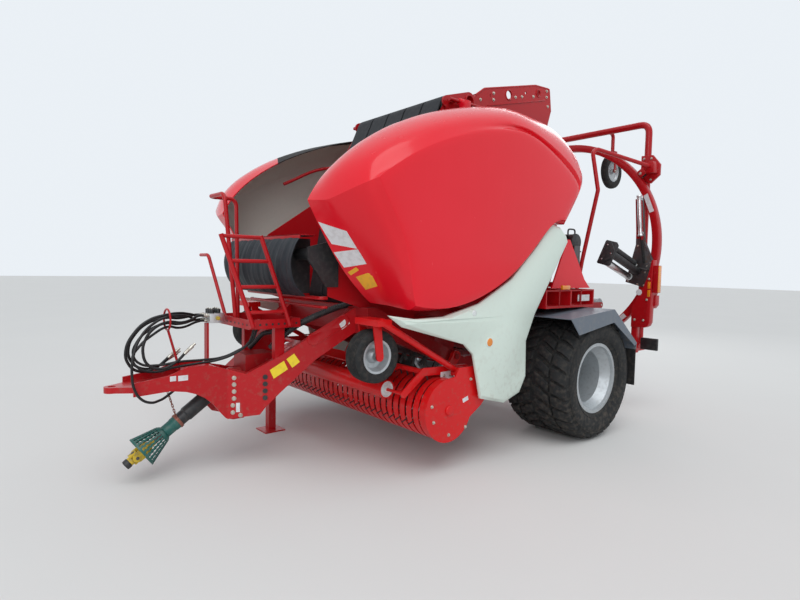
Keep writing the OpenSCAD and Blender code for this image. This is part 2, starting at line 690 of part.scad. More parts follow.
module rim() rotate([-90, 0, 0]) {
    rotate_extrude($fn = 72) rim_profile();
    difference() {
        union() {
            translate([0, 0, disc_y]) cylinder(r = rim_r - 66, h = 16);
            translate([0, 0, disc_y - 100]) cylinder(r = 95, h = 170);
        }
        translate([0, 0, disc_y - 120]) cylinder(r = stub_r + fit, h = 112 - disc_y);
        for (i = [0 : 7]) rotate([0, 0, i * 45]) translate([165, 0, disc_y - 1]) cylinder(r = 20, h = 20);
    }
}

module tyre_left() at_axle() color([0.06, 0.06, 0.06]) translate([0, wheel_y, axle_z]) tyre();
module tyre_right() at_axle() color([0.06, 0.06, 0.06]) mirror([0, 1, 0]) translate([0, wheel_y, axle_z]) tyre();
module rim_left() at_axle() color("silver") translate([0, wheel_y, axle_z]) rim();
module rim_right() at_axle() color("silver") mirror([0, 1, 0]) translate([0, wheel_y, axle_z]) rim();

// Covers: an inner edge, a shoulder and an outer face, joined by flat and folded faces

module cover_inner_edge() polygon([[2672, 2008], [2594, 1870], [2456, 1643], [2319, 1461], [2120, 1280],
    [1700, 1240], [700, 1900], [100, 2400], [-40, 2700], [100, 2900], [500, 2965], [870, 2955],
    [1300, 2855], [1760, 2690], [2140, 2500], [2430, 2300], [2590, 2130]]);

module cover_shoulder() polygon([[2640, 1990], [2440, 1750], [2237, 1514], [2110, 1300], [1750, 1225],
    [450, 1950], [80, 1960], [-150, 2220], [-270, 2560], [-200, 2720], [-60, 2840], [200, 2965], [870, 2950],
    [1590, 2778], [1995, 2618], [2310, 2450], [2500, 2310], [2610, 2150]]);

module cover_face() polygon([[2470, 2130], [2370, 1960], [2240, 1765], [2210, 1500], [2150, 1290], [1840, 1222],
    [1460, 1305], [1070, 1490], [750, 1775], [530, 1985], [380, 1960], [220, 2310], [700, 2470],
    [960, 2640], [1320, 2620], [1900, 2460]]);

module cover_body(inset, y_in) hull() {
    side_plate(y_in, 1) offset(delta = -inset) cover_inner_edge();
    side_plate(cover_mid_y - inset * 0.5, 1) offset(delta = -inset) cover_shoulder();
    side_plate(cover_out_y - 1 - inset, 1) offset(delta = -inset) cover_face();
}

KNUCKLES = [700, 1110];

module cover() difference() {
    union() {
        difference() {
            cover_body(0, cover_in_y);
            cover_body(cover_t, cover_in_y - 40);
            block([-400, cover_in_y - 60, 1000], [600, cover_in_y + 60, 2600]);
            side_plate(cover_in_y - 100, cover_out_y) offset(delta = gap) white_outline();
        }
        for (x = KNUCKLES) {
            bar_x(x, x + 60, cover_hinge_y, cover_hinge_z, cover_hinge_r + 12);
            block([x, cover_hinge_y + 10, cover_hinge_z - 130], [x + 60, cover_in_y + 40, cover_hinge_z - 8]);
        }
    }
    bar_x(KNUCKLES[0] - 100, KNUCKLES[1] + 200, cover_hinge_y, cover_hinge_z, cover_hinge_r + fit);
}

module cover_left() at_axle() color("red") cover();
module cover_right() at_axle() color("red") mirror([0, 1, 0]) cover();

// Tailgate

module tailgate_wall() difference() {
    union() {
        translate([chamber_x, chamber_z]) circle(r = chamber_r, $fn = 96);
        polygon([[pivot_x - 40, 3030], [-250, 3030], [-470, 2300], [chamber_x, chamber_z], [pivot_x, 2600]]);
    }
    polygon([[split_at(split_low[1] - 100) - split_gap / 2, split_low[1] - 100],
        [split_at(pivot_z + 100) - split_gap / 2, pivot_z + 100], [2500, pivot_z + 100], [2500, split_low[1] - 100]]);
}

// Holes in the top frame's side plates: place, height, radius
TOP_HOLES = [[660, 3165, 14], [400, 3225, 42], [140, 3300, 14], [-60, 3340, 30]];

module tailgate() at_axle() color("firebrick") {
    both() side_plate(wall_in, wall_t) tailgate_wall();
    // wrapper sheet between the walls
    side_plate(-wall_in, 2 * wall_in) difference() {
        intersection() {
            translate([chamber_x, chamber_z]) circle(r = chamber_r - 10, $fn = 96);
            polygon([[-1000, 800], [split_at(1200), 1200], [split_at(2500), 2500], [-1000, 2500]]);
        }
        translate([chamber_x, chamber_z]) circle(r = chamber_r - 22, $fn = 96);
    }
    block([-300, -wall_in, 2560], [-240, wall_in, 2640]);
    // frame on top with its pivot tube
    both() side_plate(wall_in - 12, 12) difference() {
        polygon([[pivot_x + 62, pivot_z - 45], [pivot_x + 66, pivot_z + 20], [pivot_x + 30, pivot_z + 62],
            [pivot_x - 90, pivot_z + 66], [746, 3215], [-14, 3412], [-252, 3425], [-284, 3195], [-200, 2950],
            [pivot_x - 300, 2950], [pivot_x - 60, pivot_z - 50]]);
        for (h = TOP_HOLES) translate([h[0], h[1]]) circle(r = h[2]);
    }
    for (x = [-240, 600]) block([x, -wall_in, x < 0 ? 3300 : 3120], [x + 60, wall_in, x < 0 ? 3415 : 3225]);
    difference() {
        bar_y(pivot_x, pivot_z, pivot_r, -wall_out - 30, wall_out + 30);
        both() bar_y(pivot_x, pivot_z, pivot_r - 9, wall_out - 40, wall_out + 31);
    }
}

// Pickup

plate_t = 12;
back_x = 1320;
back_w = 80;
back_z = 545;
back_top = 650;
band_pitch = 2 * (pickup_half - 70) / band_count;
arm_y = sill_out + gap;
strut_y = pickup_half - 60;
windguard_pivot = [1411, 760];
windguard_bend = [1860, 778];
windguard_y = pickup_half - 115;
gauge_x = 2262;
gauge_y = pickup_half - 215;
gauge_z = 922;
gauge_pin_r = 15;

module end_plate_outline() {
    translate([reel_x, reel_z]) circle(r = band_r + 8);
    polygon([[reel_x, reel_z + band_r + 8], [1640, 735], [1600, 800], [1490, 800], [1380, 800], [back_x, back_top], [1300, 520],
        [back_x + 20, 480], [reel_x + 30, reel_z - band_r - 6], [reel_x + 100, reel_z]]);
}

module pickup_frame() at_axle() color("red") {
    both() side_plate(pickup_half, plate_t) difference() {
        end_plate_outline();
        translate([reel_x, reel_z]) circle(r = 20 + fit);
    }
    // arms to the lift pivot
    both() side_plate(arm_y, 30) difference() {
        union() {
            translate([pickup_pivot_x, pickup_pivot_z]) circle(r = 50);
            polygon([[back_x, back_z], [back_x, back_top], [pickup_pivot_x + 30, pickup_pivot_z + 40],
                [pickup_pivot_x - 48, pickup_pivot_z - 12]]);
        }
        translate([pickup_pivot_x, pickup_pivot_z]) circle(r = 25 + fit);
    }
    // pins of the windguard
    both() bar_y(windguard_pivot[0], windguard_pivot[1], 14, windguard_y - 20, pickup_half);
    // struts and forks of the gauge wheels
    both() {
        rod([1560, strut_y, 765], [gauge_x + 50, strut_y, 1185], 24);
        block([1500, strut_y - 30, 728], [1590, pickup_half, 795]);
        block([gauge_x - 30, gauge_y - gauge_w / 2 - 18, 1150], [gauge_x + 90, strut_y + 24, 1195]);
        for (y = [gauge_y - gauge_w / 2 - 18, gauge_y + gauge_w / 2 + 6]) side_plate(y, 12)
            link([gauge_x, gauge_z], 30, [gauge_x + 30, 1160], 35);
        bar_y(gauge_x, gauge_z, gauge_pin_r, gauge_y - gauge_w / 2 - 18, gauge_y + gauge_w / 2 + 18);
    }
}

module pickup_bands() at_axle() color("red") {
    for (i = [0 : band_count - 1]) side_plate(-pickup_half + 70 + band_pitch * (i + 0.14), band_pitch * 0.72)
        difference() {
            union() {
                translate([reel_x, reel_z]) circle(r = band_r);
                polygon([[reel_x, reel_z - band_r], [reel_x, reel_z + band_r], [back_x + back_w, back_top],
                    [back_x + back_w, back_z]]);
            }
            translate([reel_x, reel_z]) circle(r = band_r - 6);
            polygon([[reel_x, reel_z - band_r + 6], [reel_x, reel_z + band_r - 6], [back_x + back_w - 1, back_top - 6],
                [back_x + back_w - 1, back_z + 6]]);
        }
    block([back_x, -pickup_half, back_z], [back_x + back_w, pickup_half, back_top]);
    // closed drum beside the last bands
    both() side_plate(pickup_half - 66, 66) difference() {
        translate([reel_x, reel_z]) circle(r = band_r);
        translate([reel_x, reel_z]) circle(r = band_r - 6);
    }
}

module pickup_reel() at_axle() color("dimgray") {
    bar_y(reel_x, reel_z, 20, -pickup_half - 8, pickup_half + 8);
    for (a = [20 : 90 : 290]) translate([reel_x, 0, reel_z]) rotate([0, a, 0]) {
        block([120, -pickup_half + 80, -10], [140, pickup_half - 80, 10]);
        for (i = [1 : band_count - 1]) {
            y = -pickup_half + 70 + band_pitch * i;
            block([135, y - 4, -4], [tine_r, y + 4, 4]);
        }
        for (y = [-pickup_half + 90, 0, pickup_half - 90]) block([0, y - 6, -14], [125, y + 6, 14]);
    }
}

windguard_x = 2050;
windguard_z = 635;
roller_half = gauge_y - gauge_w / 2 - 10;

module windguard() at_axle() color("red") {
    both() side_plate(windguard_y, 14) difference() {
        union() {
            link(windguard_pivot, 34, windguard_bend, 30);
            link(windguard_bend, 30, [windguard_x, windguard_z], 28);
        }
        translate(windguard_pivot) circle(r = 14 + fit);
        translate([windguard_x, windguard_z]) circle(r = 12 + fit);
    }
    bar_y(windguard_bend[0], windguard_bend[1], 20, -windguard_y, windguard_y);
    side_plate(-roller_half + 40, 2 * roller_half - 80) polygon([[1860, 798], [1860, 790], [1990, 752], [1990, 760]]);
}

module windguard_roller() at_axle() color("red") {
    difference() {
        bar_y(windguard_x, windguard_z, guard_roll_r, -roller_half, roller_half);
        both() bar_y(windguard_x, windguard_z, guard_roll_r - 8, roller_half - 60, roller_half + 1);
    }
    bar_y(windguard_x, windguard_z, 12, -windguard_y - 14, windguard_y + 14);
}

module gauge_wheel() rotate([-90, 0, 0]) difference() {
    union() {
        rotate_extrude($fn = 64) polygon([[60, -50], [110, -62], [130, -gauge_w / 2], [gauge_r - 25, -gauge_w / 2],
            [gauge_r, -gauge_w / 2 + 35], [gauge_r, gauge_w / 2 - 35], [gauge_r - 25, gauge_w / 2],
            [130, gauge_w / 2], [110, 62], [60, 50]]);
        cylinder(r = 70, h = 60, center = true);
        cylinder(r = 30, h = gauge_w + 8, center = true);
    }
    cylinder(r = gauge_pin_r + fit, h = 200, center = true);
}

module gauge_wheel_left() at_axle() color([0.07, 0.07, 0.07]) translate([gauge_x, gauge_y, gauge_z]) gauge_wheel();
module gauge_wheel_right() at_axle() color([0.07, 0.07, 0.07]) translate([gauge_x, -gauge_y, gauge_z]) gauge_wheel();

// Feed rotor with its rows of tines
module feed_rotor() at_axle() color("dimgray") translate([pickup_pivot_x, 0, pickup_pivot_z]) {
    bar_y(0, 0, 30, -wall_out - 6, wall_out + 6);
    bar_y(0, 0, 70, -wall_in + 10, wall_in - 10);
    for (i = [0 : 10], k = [0 : 3]) rotate([0, i * 24 + k * 90, 0])
        block([60, -550 + 110 * i - 8, -16], [rotor_r, -550 + 110 * i + 8, 16]);
}

// Wrapping ring with its two film dispensers

module wrap_ring() at_axle() color("red") translate([-ring_x, 0, ring_z]) rotate([0, 90, 0])
    rotate_extrude($fn = 96) translate([ring_r, 0]) circle(r = ring_tube_r, $fn = 32);

dispenser_lean = 16;
dispenser_home = -14;
dispenser_in = ring_r - 245;

// One dispenser at the left of the ring's middle: saddle, plate, upright arm and rollers
module dispenser() {
    difference() {
        block([-20, ring_r - 60, -50], [ring_tube_r + 14, ring_r + 10, 50]);
        rotate([0, 90, 0]) rotate_extrude($fn = 96) translate([ring_r, 0]) circle(r = ring_tube_r + 0.2, $fn = 32);
    }
    cross_plate(ring_tube_r + 2, 12) polygon([[dispenser_in, -205], [ring_r + 10, -205], [ring_r + 10, 115],
        [ring_r - 140, 300], [ring_r - 300, 760], [ring_r - 385, 735], [dispenser_in, 240]]);
    for (k = [0, 1]) rod([ring_tube_r + 50, ring_r - 330 + 120 * k, 735 - 360 * k],
        [ring_tube_r + 8, ring_r - 330 + 120 * k, 735 - 360 * k], 16);
    rod([ring_tube_r + 50, ring_r - 345, 775], [ring_tube_r + 50, ring_r - 195, 335], 24);
    rotate([0, -dispenser_lean, 0]) {
        for (z = [-150, 10]) bar_x(ring_tube_r + 20, ring_tube_r + film_w, dispenser_in + 45, z, 38);
        bar_x(ring_tube_r + 20, ring_tube_r + film_w, dispenser_in + 118, -70, 40);
        block([ring_tube_r + film_w, dispenser_in, -205], [ring_tube_r + film_w + 12, dispenser_in + 160, 60]);
        for (z = [-150, 10]) bar_x(ring_tube_r, ring_tube_r + 21, dispenser_in + 45, z, 15);
    }
}

module dispensers() at_axle() color("dimgray") translate([-ring_x, 0, ring_z])
    for (a = [dispenser_home, dispenser_home + 180]) rotate([a, 0, 0]) dispenser();

// Table

roller_z = table_z + 5;
roller_pin = 12;
table_plate = 14;
table_in = table_half + gap;

module table_frame() at_axle() color("firebrick") {
    difference() {
        both() side_plate(table_in, table_plate) link([-ring_x - table_gap, roller_z], 36, [-ring_x + table_gap, roller_z], 36);
        for (x = [-table_gap, table_gap]) bar_y(-ring_x + x, roller_z, roller_pin + fit, -table_half - 60, table_half + 60);
    }
    bar_y(-ring_x, table_bore_z, 20, -arm_in - 38, arm_in + 38);
}

module table_roller(x) {
    bar_y(x, roller_z, table_roll_r, -table_half, table_half);
    bar_y(x, roller_z, roller_pin, -table_in - table_plate, table_in + table_plate);
}

module table_roller_front() at_axle() color([0.2, 0.2, 0.2]) table_roller(-ring_x + table_gap);
module table_roller_rear() at_axle() color([0.2, 0.2, 0.2]) table_roller(-ring_x - table_gap);

module bale_wheel() at_axle() color([0.07, 0.07, 0.07]) translate([fork_x, fork_y, fork_z]) rotate([-90, 0, 0])
    difference() {
        union() {
            rotate_extrude($fn = 64) polygon([[60, -14], [120, -20], [bale_wheel_r - 45, -36],
                [bale_wheel_r - 12, -36], [bale_wheel_r, -26], [bale_wheel_r, 26], [bale_wheel_r - 12, 36],
                [bale_wheel_r - 45, 36], [120, 20], [60, 14]]);
            cylinder(r = 62, h = 2 * (fork_half - 10 - gap), center = true);
        }
        cylinder(r = 12 + fit, h = 200, center = true);
    }

drawbar();
main_frame();
front_walls();
belt_rolls();
belts();
net_box();
platform();
ladder();
white_panels();
rear_panels();
roll_carriers();
fenders();
mud_flaps();
ring_frame();
lamps();
table_arms();
gearbox();
valve_block();
pto_guard();
hose_1();
hose_2();
hose_3();
couplers();
tyre_left();
rim_left();
tyre_right();
rim_right();
cover_left();
cover_right();
tailgate();
pickup_frame();
pickup_bands();
pickup_reel();
windguard();
windguard_roller();
gauge_wheel_left();
gauge_wheel_right();
feed_rotor();
jack_leg();
wrap_ring();
dispensers();
table_frame();
table_roller_front();
table_roller_rear();
bale_wheel();
pto_yoke();
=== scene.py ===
# %% [markdown]
# # A round baler with its wrapping ring, dressed for the studio
# The solids of this machine come ready made, each with its place and its joints.
# Here they get their paint, rubber and steel, and the pieces that are easier to
# model by hand than to write as solids: pressed covers, tread, hoses, chain, bolts.
# Sizes are metres. Places are written from the point on the ground below the axle,
# with X to the tractor, Y to the left wheel and Z up.

# %% Load the solids
import math
import bpy
from mathutils import Matrix, Vector


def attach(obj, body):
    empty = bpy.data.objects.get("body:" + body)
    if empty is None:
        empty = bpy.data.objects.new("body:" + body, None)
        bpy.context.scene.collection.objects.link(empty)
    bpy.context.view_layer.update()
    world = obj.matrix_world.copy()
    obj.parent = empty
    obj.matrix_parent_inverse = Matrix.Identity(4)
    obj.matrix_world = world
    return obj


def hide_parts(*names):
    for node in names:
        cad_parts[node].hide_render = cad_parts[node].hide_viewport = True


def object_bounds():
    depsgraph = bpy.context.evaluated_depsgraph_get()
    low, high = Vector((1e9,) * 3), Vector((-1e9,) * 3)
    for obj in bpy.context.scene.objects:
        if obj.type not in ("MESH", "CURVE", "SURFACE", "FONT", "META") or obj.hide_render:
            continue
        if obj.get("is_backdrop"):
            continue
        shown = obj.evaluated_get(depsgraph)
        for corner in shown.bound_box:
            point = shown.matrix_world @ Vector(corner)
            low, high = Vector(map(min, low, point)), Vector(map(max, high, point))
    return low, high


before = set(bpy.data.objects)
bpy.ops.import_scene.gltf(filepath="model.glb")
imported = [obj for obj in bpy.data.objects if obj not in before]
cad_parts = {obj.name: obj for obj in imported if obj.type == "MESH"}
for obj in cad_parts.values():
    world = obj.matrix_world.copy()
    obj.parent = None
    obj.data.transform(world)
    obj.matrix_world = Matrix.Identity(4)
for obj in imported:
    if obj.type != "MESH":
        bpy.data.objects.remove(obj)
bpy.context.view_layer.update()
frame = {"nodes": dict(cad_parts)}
node = frame["nodes"]

# %% [markdown]
# The frame's origin lies in the middle of the machine's footprint, and the axle is
# 0.92 m in front of it. One helper turns a place measured from the axle into a
# place in the frame, so that every number below can be read off the machine.

# %% Places
AXLE_SHIFT = -0.92


def at(x, y, z):
    return Vector((x + AXLE_SHIFT, y, z))


print("axle stands at", at(0, 0, 0.57))

# %% [markdown]
# The camera comes first. It stands in front of the left wheel, a little above the
# height of an adult's eyes, and looks back along the machine. It is turned by a
# heading, then tipped down and rolled a little, as a hand-held camera is.

# %% Camera
CAMERA_PLACE = Vector((3.68, 4.059, 1.559))
HEADING, TIP, ROLL = math.radians(230.02), math.radians(3.46), math.radians(1.11)
look = Vector((math.cos(HEADING) * math.cos(TIP), math.sin(HEADING) * math.cos(TIP), -math.sin(TIP)))
level = Vector((math.sin(HEADING), -math.cos(HEADING), 0))
up = level.cross(look)
right = math.cos(ROLL) * level + math.sin(ROLL) * up
top = -math.sin(ROLL) * level + math.cos(ROLL) * up
turn = Matrix((right, top, -look)).transposed()
bpy.ops.object.select_all(action="DESELECT")
bpy.ops.object.camera_add(location=CAMERA_PLACE, rotation=turn.to_euler())
camera = bpy.context.object
camera.name = "camera"
camera.data.sensor_width = 36
camera.data.lens = 24.53
camera.data.clip_end = 200
bpy.context.scene.camera = camera
print("camera looks along", [round(v, 3) for v in look])

# %% [markdown]
# Modelling by script is the same as by hand: deselect everything, add a primitive,
# change it in edit mode, and give it its modifiers. These few helpers keep that
# short. `plate` is the one used most: a filled circle with one corner for each point
# of an outline, whose corners are pulled to the outline before it is extruded.

# %% Helpers for modelling
def deselect():
    bpy.ops.object.select_all(action="DESELECT")


def mode(name):
    bpy.ops.object.mode_set(mode=name)


def chosen(*pieces):
    deselect()
    for piece in pieces:
        piece.select_set(True)
    bpy.context.view_layer.objects.active = pieces[0]


def settle(name=None):
    """Names the active object and puts its place, turn and size into its mesh."""
    piece = bpy.context.object
    if name:
        piece.name = piece.data.name = name
    bpy.ops.object.transform_apply(location=True, rotation=True, scale=True)
    return piece


def use(piece, kind, **settings):
    """Adds a modifier with its settings and applies it."""
    chosen(piece)
    modifier = piece.modifiers.new(kind.lower(), kind)
    for key, value in settings.items():
        setattr(modifier, key, value)
    bpy.ops.object.modifier_apply(modifier=modifier.name)
    return piece


def outward(piece, merge=1e-5):
    """Merges doubles and turns every face outwards."""
    chosen(piece)
    mode("EDIT")
    bpy.ops.mesh.select_all(action="SELECT")
    bpy.ops.mesh.remove_doubles(threshold=merge)
    bpy.ops.mesh.normals_make_consistent(inside=False)
    mode("OBJECT")
    return piece


def smooth(piece, angle=35):
    chosen(piece)
    bpy.ops.object.shade_smooth_by_angle(angle=math.radians(angle))
    return piece


def soften(piece, width=0.003, segments=2, angle=35):
    """Breaks the sharp edges, as every real edge is broken."""
    use(piece, "BEVEL", width=width, segments=segments, limit_method="ANGLE",
        angle_limit=math.radians(angle), harden_normals=False)
    return smooth(piece, angle)


def plate(name, outline, thickness, axis="Y", start=0.0):
    """A plate with this outline: (x, z) pairs for axis Y, (y, z) for X, (x, y) for Z."""
    deselect()
    bpy.ops.mesh.primitive_circle_add(vertices=len(outline), fill_type="NGON")
    piece = bpy.context.object
    for vertex, (a, b) in zip(piece.data.vertices, outline):
        vertex.co = {"Y": at(a, start, b), "X": at(start, a, b), "Z": at(a, b, start)}[axis]
    along = {"Y": (0, thickness, 0), "X": (thickness, 0, 0), "Z": (0, 0, thickness)}[axis]
    mode("EDIT")
    bpy.ops.mesh.select_all(action="SELECT")
    bpy.ops.mesh.extrude_region_move(TRANSFORM_OT_translate={"value": along})
    mode("OBJECT")
    return outward(settle(name))


def bar(name, a, b, radius, sides=24, end_radius=None):
    """A round bar between two places."""
    a, b = at(*a), at(*b)
    deselect()
    bpy.ops.mesh.primitive_cone_add(vertices=sides, radius1=radius, depth=(b - a).length,
                                    radius2=radius if end_radius is None else end_radius,
                                    location=(a + b) / 2, rotation=(b - a).to_track_quat("Z", "Y").to_euler())
    return settle(name)


def box(name, low, high):
    low, high = at(*low), at(*high)
    deselect()
    bpy.ops.mesh.primitive_cube_add(size=1, location=(low + high) / 2, scale=high - low)
    return settle(name)


def joined(name, pieces):
    chosen(*pieces)
    if len(pieces) > 1:
        bpy.ops.object.join()
    piece = bpy.context.object
    piece.name = piece.data.name = name
    return piece


def moved_copy(piece, move):
    twin = piece.copy()
    twin.data = piece.data.copy()
    twin.data.transform(move)
    bpy.context.collection.objects.link(twin)
    return twin


def copies(piece, name, moves):
    """One object made of a copy of the piece at each matrix. The piece itself goes."""
    made = [moved_copy(piece, move) for move in moves]
    bpy.data.objects.remove(piece)
    return joined(name, made)


def other_side(piece, name):
    """The same piece on the machine's right-hand side."""
    twin = moved_copy(piece, Matrix.Scale(-1, 4, (0, 1, 0)))
    twin.data.flip_normals()
    twin.name = twin.data.name = name
    return twin


def aimed(direction):
    """The turn that points an upright piece along a direction."""
    return direction.to_track_quat("Z", "Y").to_matrix().to_4x4()


def carried(turn, start, end=None):
    """The move that turns a piece about one place and sets it down at another."""
    return Matrix.Translation(start if end is None else end) @ turn @ Matrix.Translation(-start)


def both_sides(piece):
    """Joins the piece with its mirror image."""
    name = piece.name
    return joined(name, [piece, other_side(piece, name + "_r")])


def spun(name, profile, centre, axis="Y", steps=72):
    """A turned piece: (radius, along) pairs spun about an axis through the centre."""
    deselect()
    bpy.ops.mesh.primitive_circle_add(vertices=len(profile), fill_type="NOTHING")
    piece = bpy.context.object
    middle = at(*centre)
    for vertex, (radius, along) in zip(piece.data.vertices, profile):
        vertex.co = middle + {"Y": Vector((radius, along, 0)), "X": Vector((along, 0, radius)),
                              "Z": Vector((0, radius, along))}[axis]
    mode("EDIT")
    bpy.ops.mesh.select_all(action="SELECT")
    bpy.ops.mesh.spin(steps=steps, angle=math.tau, center=middle, axis=[float(axis == letter) for letter in "XYZ"])
    mode("OBJECT")
    return outward(settle(name), 1e-4)


def hose(name, points, radius, sides=5, kind="BEZIER"):
    """A curve through the places, with a round section, still a curve."""
    curve = bpy.data.curves.new(name, "CURVE")
    curve.dimensions = "3D"
    curve.bevel_depth, curve.bevel_resolution = radius, sides
    curve.resolution_u = 6
    curve.use_fill_caps = True
    line = curve.splines.new(kind)
    if kind == "POLY":
        line.points.add(len(points) - 1)
        for knot, place in zip(line.points, points):
            knot.co = (*at(*place), 1)
    else:
        line.bezier_points.add(len(points) - 1)
        for knot, place in zip(line.bezier_points, points):
            knot.co = at(*place)
            knot.handle_left_type = knot.handle_right_type = "AUTO"
    piece = bpy.data.objects.new(name, curve)
    bpy.context.collection.objects.link(piece)
    return piece


def tube(name, points, radius, **settings):
    """The same as hose, made a mesh."""
    piece = hose(name, points, radius, **settings)
    chosen(piece)
    bpy.ops.object.convert(target="MESH")
    return smooth(bpy.context.object, 60)


def bent(name, corners, radius, bend=0.06, steps=6, sides=5):
    """A pipe with straight lengths, rounded at each corner."""
    corners = [Vector(corner) for corner in corners]
    line = [corners[0]]
    for before, corner, after in zip(corners, corners[1:], corners[2:]):
        back, ahead = (before - corner).normalized(), (after - corner).normalized()
        reach = bend / math.tan(back.angle(ahead) / 2)
        for k in range(steps + 1):
            t = k / steps
            line.append(corner + back * reach * (1 - t) ** 2 + ahead * reach * t ** 2)
    line.append(corners[-1])
    return tube(name, line, radius, sides=sides, kind="POLY")


def finished(piece, finish, body="chassis", slot=None, replaces=None):
    """Gives the piece its finish and the body that it moves with. The slot is not used."""
    piece.data.materials.clear()
    piece.data.materials.append(finish)
    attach(piece, body)
    if replaces:
        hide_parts(replaces)
    return piece


def fitted(name, pieces, finish, body="chassis", **more):
    """Joins the pieces and finishes them."""
    return finished(joined(name, pieces), finish, body, **more)


def pair(name, pieces, finish, body="chassis", **more):
    """The same, together with a mirror image on the machine's other side."""
    return finished(both_sides(joined(name, pieces)), finish, body, **more)


print("helpers ready")

# %% [markdown]
# A finish is a small tree of nodes. Written as an expression it stays readable: a
# `Shade` wraps a socket, and `1 - mask * 0.5` adds the Math nodes that work it out.
# `Finish.node` makes every other node from its type, its settings and its inputs.

# %% Shader maths
class Shade:
    def __init__(self, finish, socket):
        self.finish, self.socket = finish, socket

    def maths(self, operation, *values):
        return self.finish.node("ShaderNodeMath", {"operation": operation}, values)

    def __add__(self, other): return self.maths("ADD", self, other)
    def __radd__(self, other): return self.maths("ADD", other, self)
    def __sub__(self, other): return self.maths("SUBTRACT", self, other)
    def __rsub__(self, other): return self.maths("SUBTRACT", other, self)
    def __mul__(self, other): return self.maths("MULTIPLY", self, other)
    def __rmul__(self, other): return self.maths("MULTIPLY", other, self)


class Finish:
    """A material in the making. Numbers and colours go straight to the shader."""

    def __init__(self, name, **shader):
        self.material = bpy.data.materials.new(name)
        self.material.use_nodes = True
        self.tree = self.material.node_tree
        self.shader = self.tree.nodes["Principled BSDF"]
        self.set(**shader)
        self.where = self.node("ShaderNodeTexCoord", output="Object")

    def set(self, **shader):
        for key, value in shader.items():
            socket = self.shader.inputs[key.replace("_", " ").title().replace("Ior", "IOR")]
            if isinstance(value, Shade):
                self.tree.links.new(value.socket, socket)
            elif isinstance(value, tuple):
                socket.default_value = (*value, 1)
            else:
                socket.default_value = value

    def node(self, kind, settings=None, inputs=(), output=0):
        made = self.tree.nodes.new(kind)
        for key, value in (settings or {}).items():
            setattr(made, key, value)
        for key, value in inputs.items() if isinstance(inputs, dict) else enumerate(inputs):
            if isinstance(value, Shade):
                self.tree.links.new(value.socket, made.inputs[key])
            else:
                made.inputs[key].default_value = value
        return Shade(self, made.outputs[output])

    def noise(self, scale, detail=4.0, stretch=None):
        where = self.where
        if stretch:
            where = self.node("ShaderNodeMapping", inputs={"Vector": where, "Scale": stretch})
        return self.node("ShaderNodeTexNoise", inputs={"Vector": where, "Scale": scale, "Detail": detail})

    def band(self, value, low, high):
        """0 below low, 1 above high, smooth between."""
        return self.node("ShaderNodeMapRange", {"interpolation_type": "SMOOTHSTEP"},
                         {"Value": value, "From Min": low, "From Max": high})

    def axis(self, letter):
        return self.node("ShaderNodeSeparateXYZ", inputs=(self.where,), output="XYZ".index(letter))

    def facing_up(self):
        normal = self.node("ShaderNodeNewGeometry", output="Normal")
        return self.band(self.node("ShaderNodeSeparateXYZ", inputs=(normal,), output=2), 0.3, 0.95)

    def mix(self, first, second, factor):
        first, second = ((*c, 1) if isinstance(c, tuple) else c for c in (first, second))
        return self.node("ShaderNodeMix", {"data_type": "RGBA"}, {0: factor, 6: first, 7: second}, output=2)

    def bump(self, height, strength=0.3, distance=0.001):
        self.set(normal=self.node("ShaderNodeBump", inputs={"Height": height, "Strength": strength,
                                                            "Distance": distance}))


print("shader maths ready")

# %% [markdown]
# The machine is sprayed in glossy red, brighter on the covers and the pickup than on
# the welded frame. Real paint is never one colour: the sun has bleached it in patches,
# water has run down it, and grit has left dull dust near the ground. Below the covers
# it also has chips that show the primer. A strong reflection would wash the red out
# in a white studio, so the specular level is low.

# %% Red paints
DUST = (0.2, 0.13, 0.1)


def red_paint(name, colour, worn, roughness, chips=0.0, streaks=0.0, dust=0.5, coat=0.25):
    paint = Finish(name, coat_weight=coat, coat_roughness=0.1, specular_ior_level=0.22)
    fading = paint.band(paint.noise(0.9, 3), 0.35, 0.75)
    runs = paint.band(paint.noise(1.0, 5, stretch=(24, 24, 0.8)), 0.52, 0.85)
    tone = paint.mix(colour, worn, fading * 0.5 + runs * streaks)
    low = 1 - paint.band(paint.axis("Z"), 0.2, 1.3)
    grit = paint.band(paint.noise(30, 9), 0.5, 0.8) * (low * 0.85 + 0.1) * dust
    grit = grit + paint.facing_up() * paint.band(paint.noise(12, 7), 0.4, 0.75) * 0.35 * dust
    tone = paint.mix(tone, DUST, grit)
    dull = paint.noise(22, 6) * 0.1 + roughness + grit * 0.5
    if chips:
        bare = paint.band(paint.noise(55, 3), 0.72, 0.75) * chips
        tone = paint.mix(tone, (0.07, 0.05, 0.05), bare)
        dull = dull + bare * 0.3
    paint.set(base_color=tone, roughness=dull)
    paint.bump(paint.noise(160, 2), 0.04, 0.0008)
    return paint.material


cover_red = red_paint("cover_red", (0.74, 0.006, 0.018), (0.8, 0.012, 0.03), 0.2, streaks=0.12, dust=0.12, coat=0.35)
frame_red = red_paint("frame_red", (0.42, 0.004, 0.008), (0.52, 0.01, 0.015), 0.3, chips=0.6, dust=0.5)
deep_red = red_paint("deep_red", (0.3, 0.005, 0.008), (0.38, 0.014, 0.016), 0.38, chips=0.7, dust=0.7, coat=0.15)
pickup_red = red_paint("pickup_red", (0.62, 0.004, 0.006), (0.7, 0.01, 0.012), 0.26, chips=0.5, dust=0.45)
print("red paints:", cover_red.name, frame_red.name, deep_red.name, pickup_red.name)

# %% [markdown]
# The side panels are moulded plastic in a pale, slightly green white, and the wheel
# guards are folded plates in slate grey. Both collect splashes near the ground.

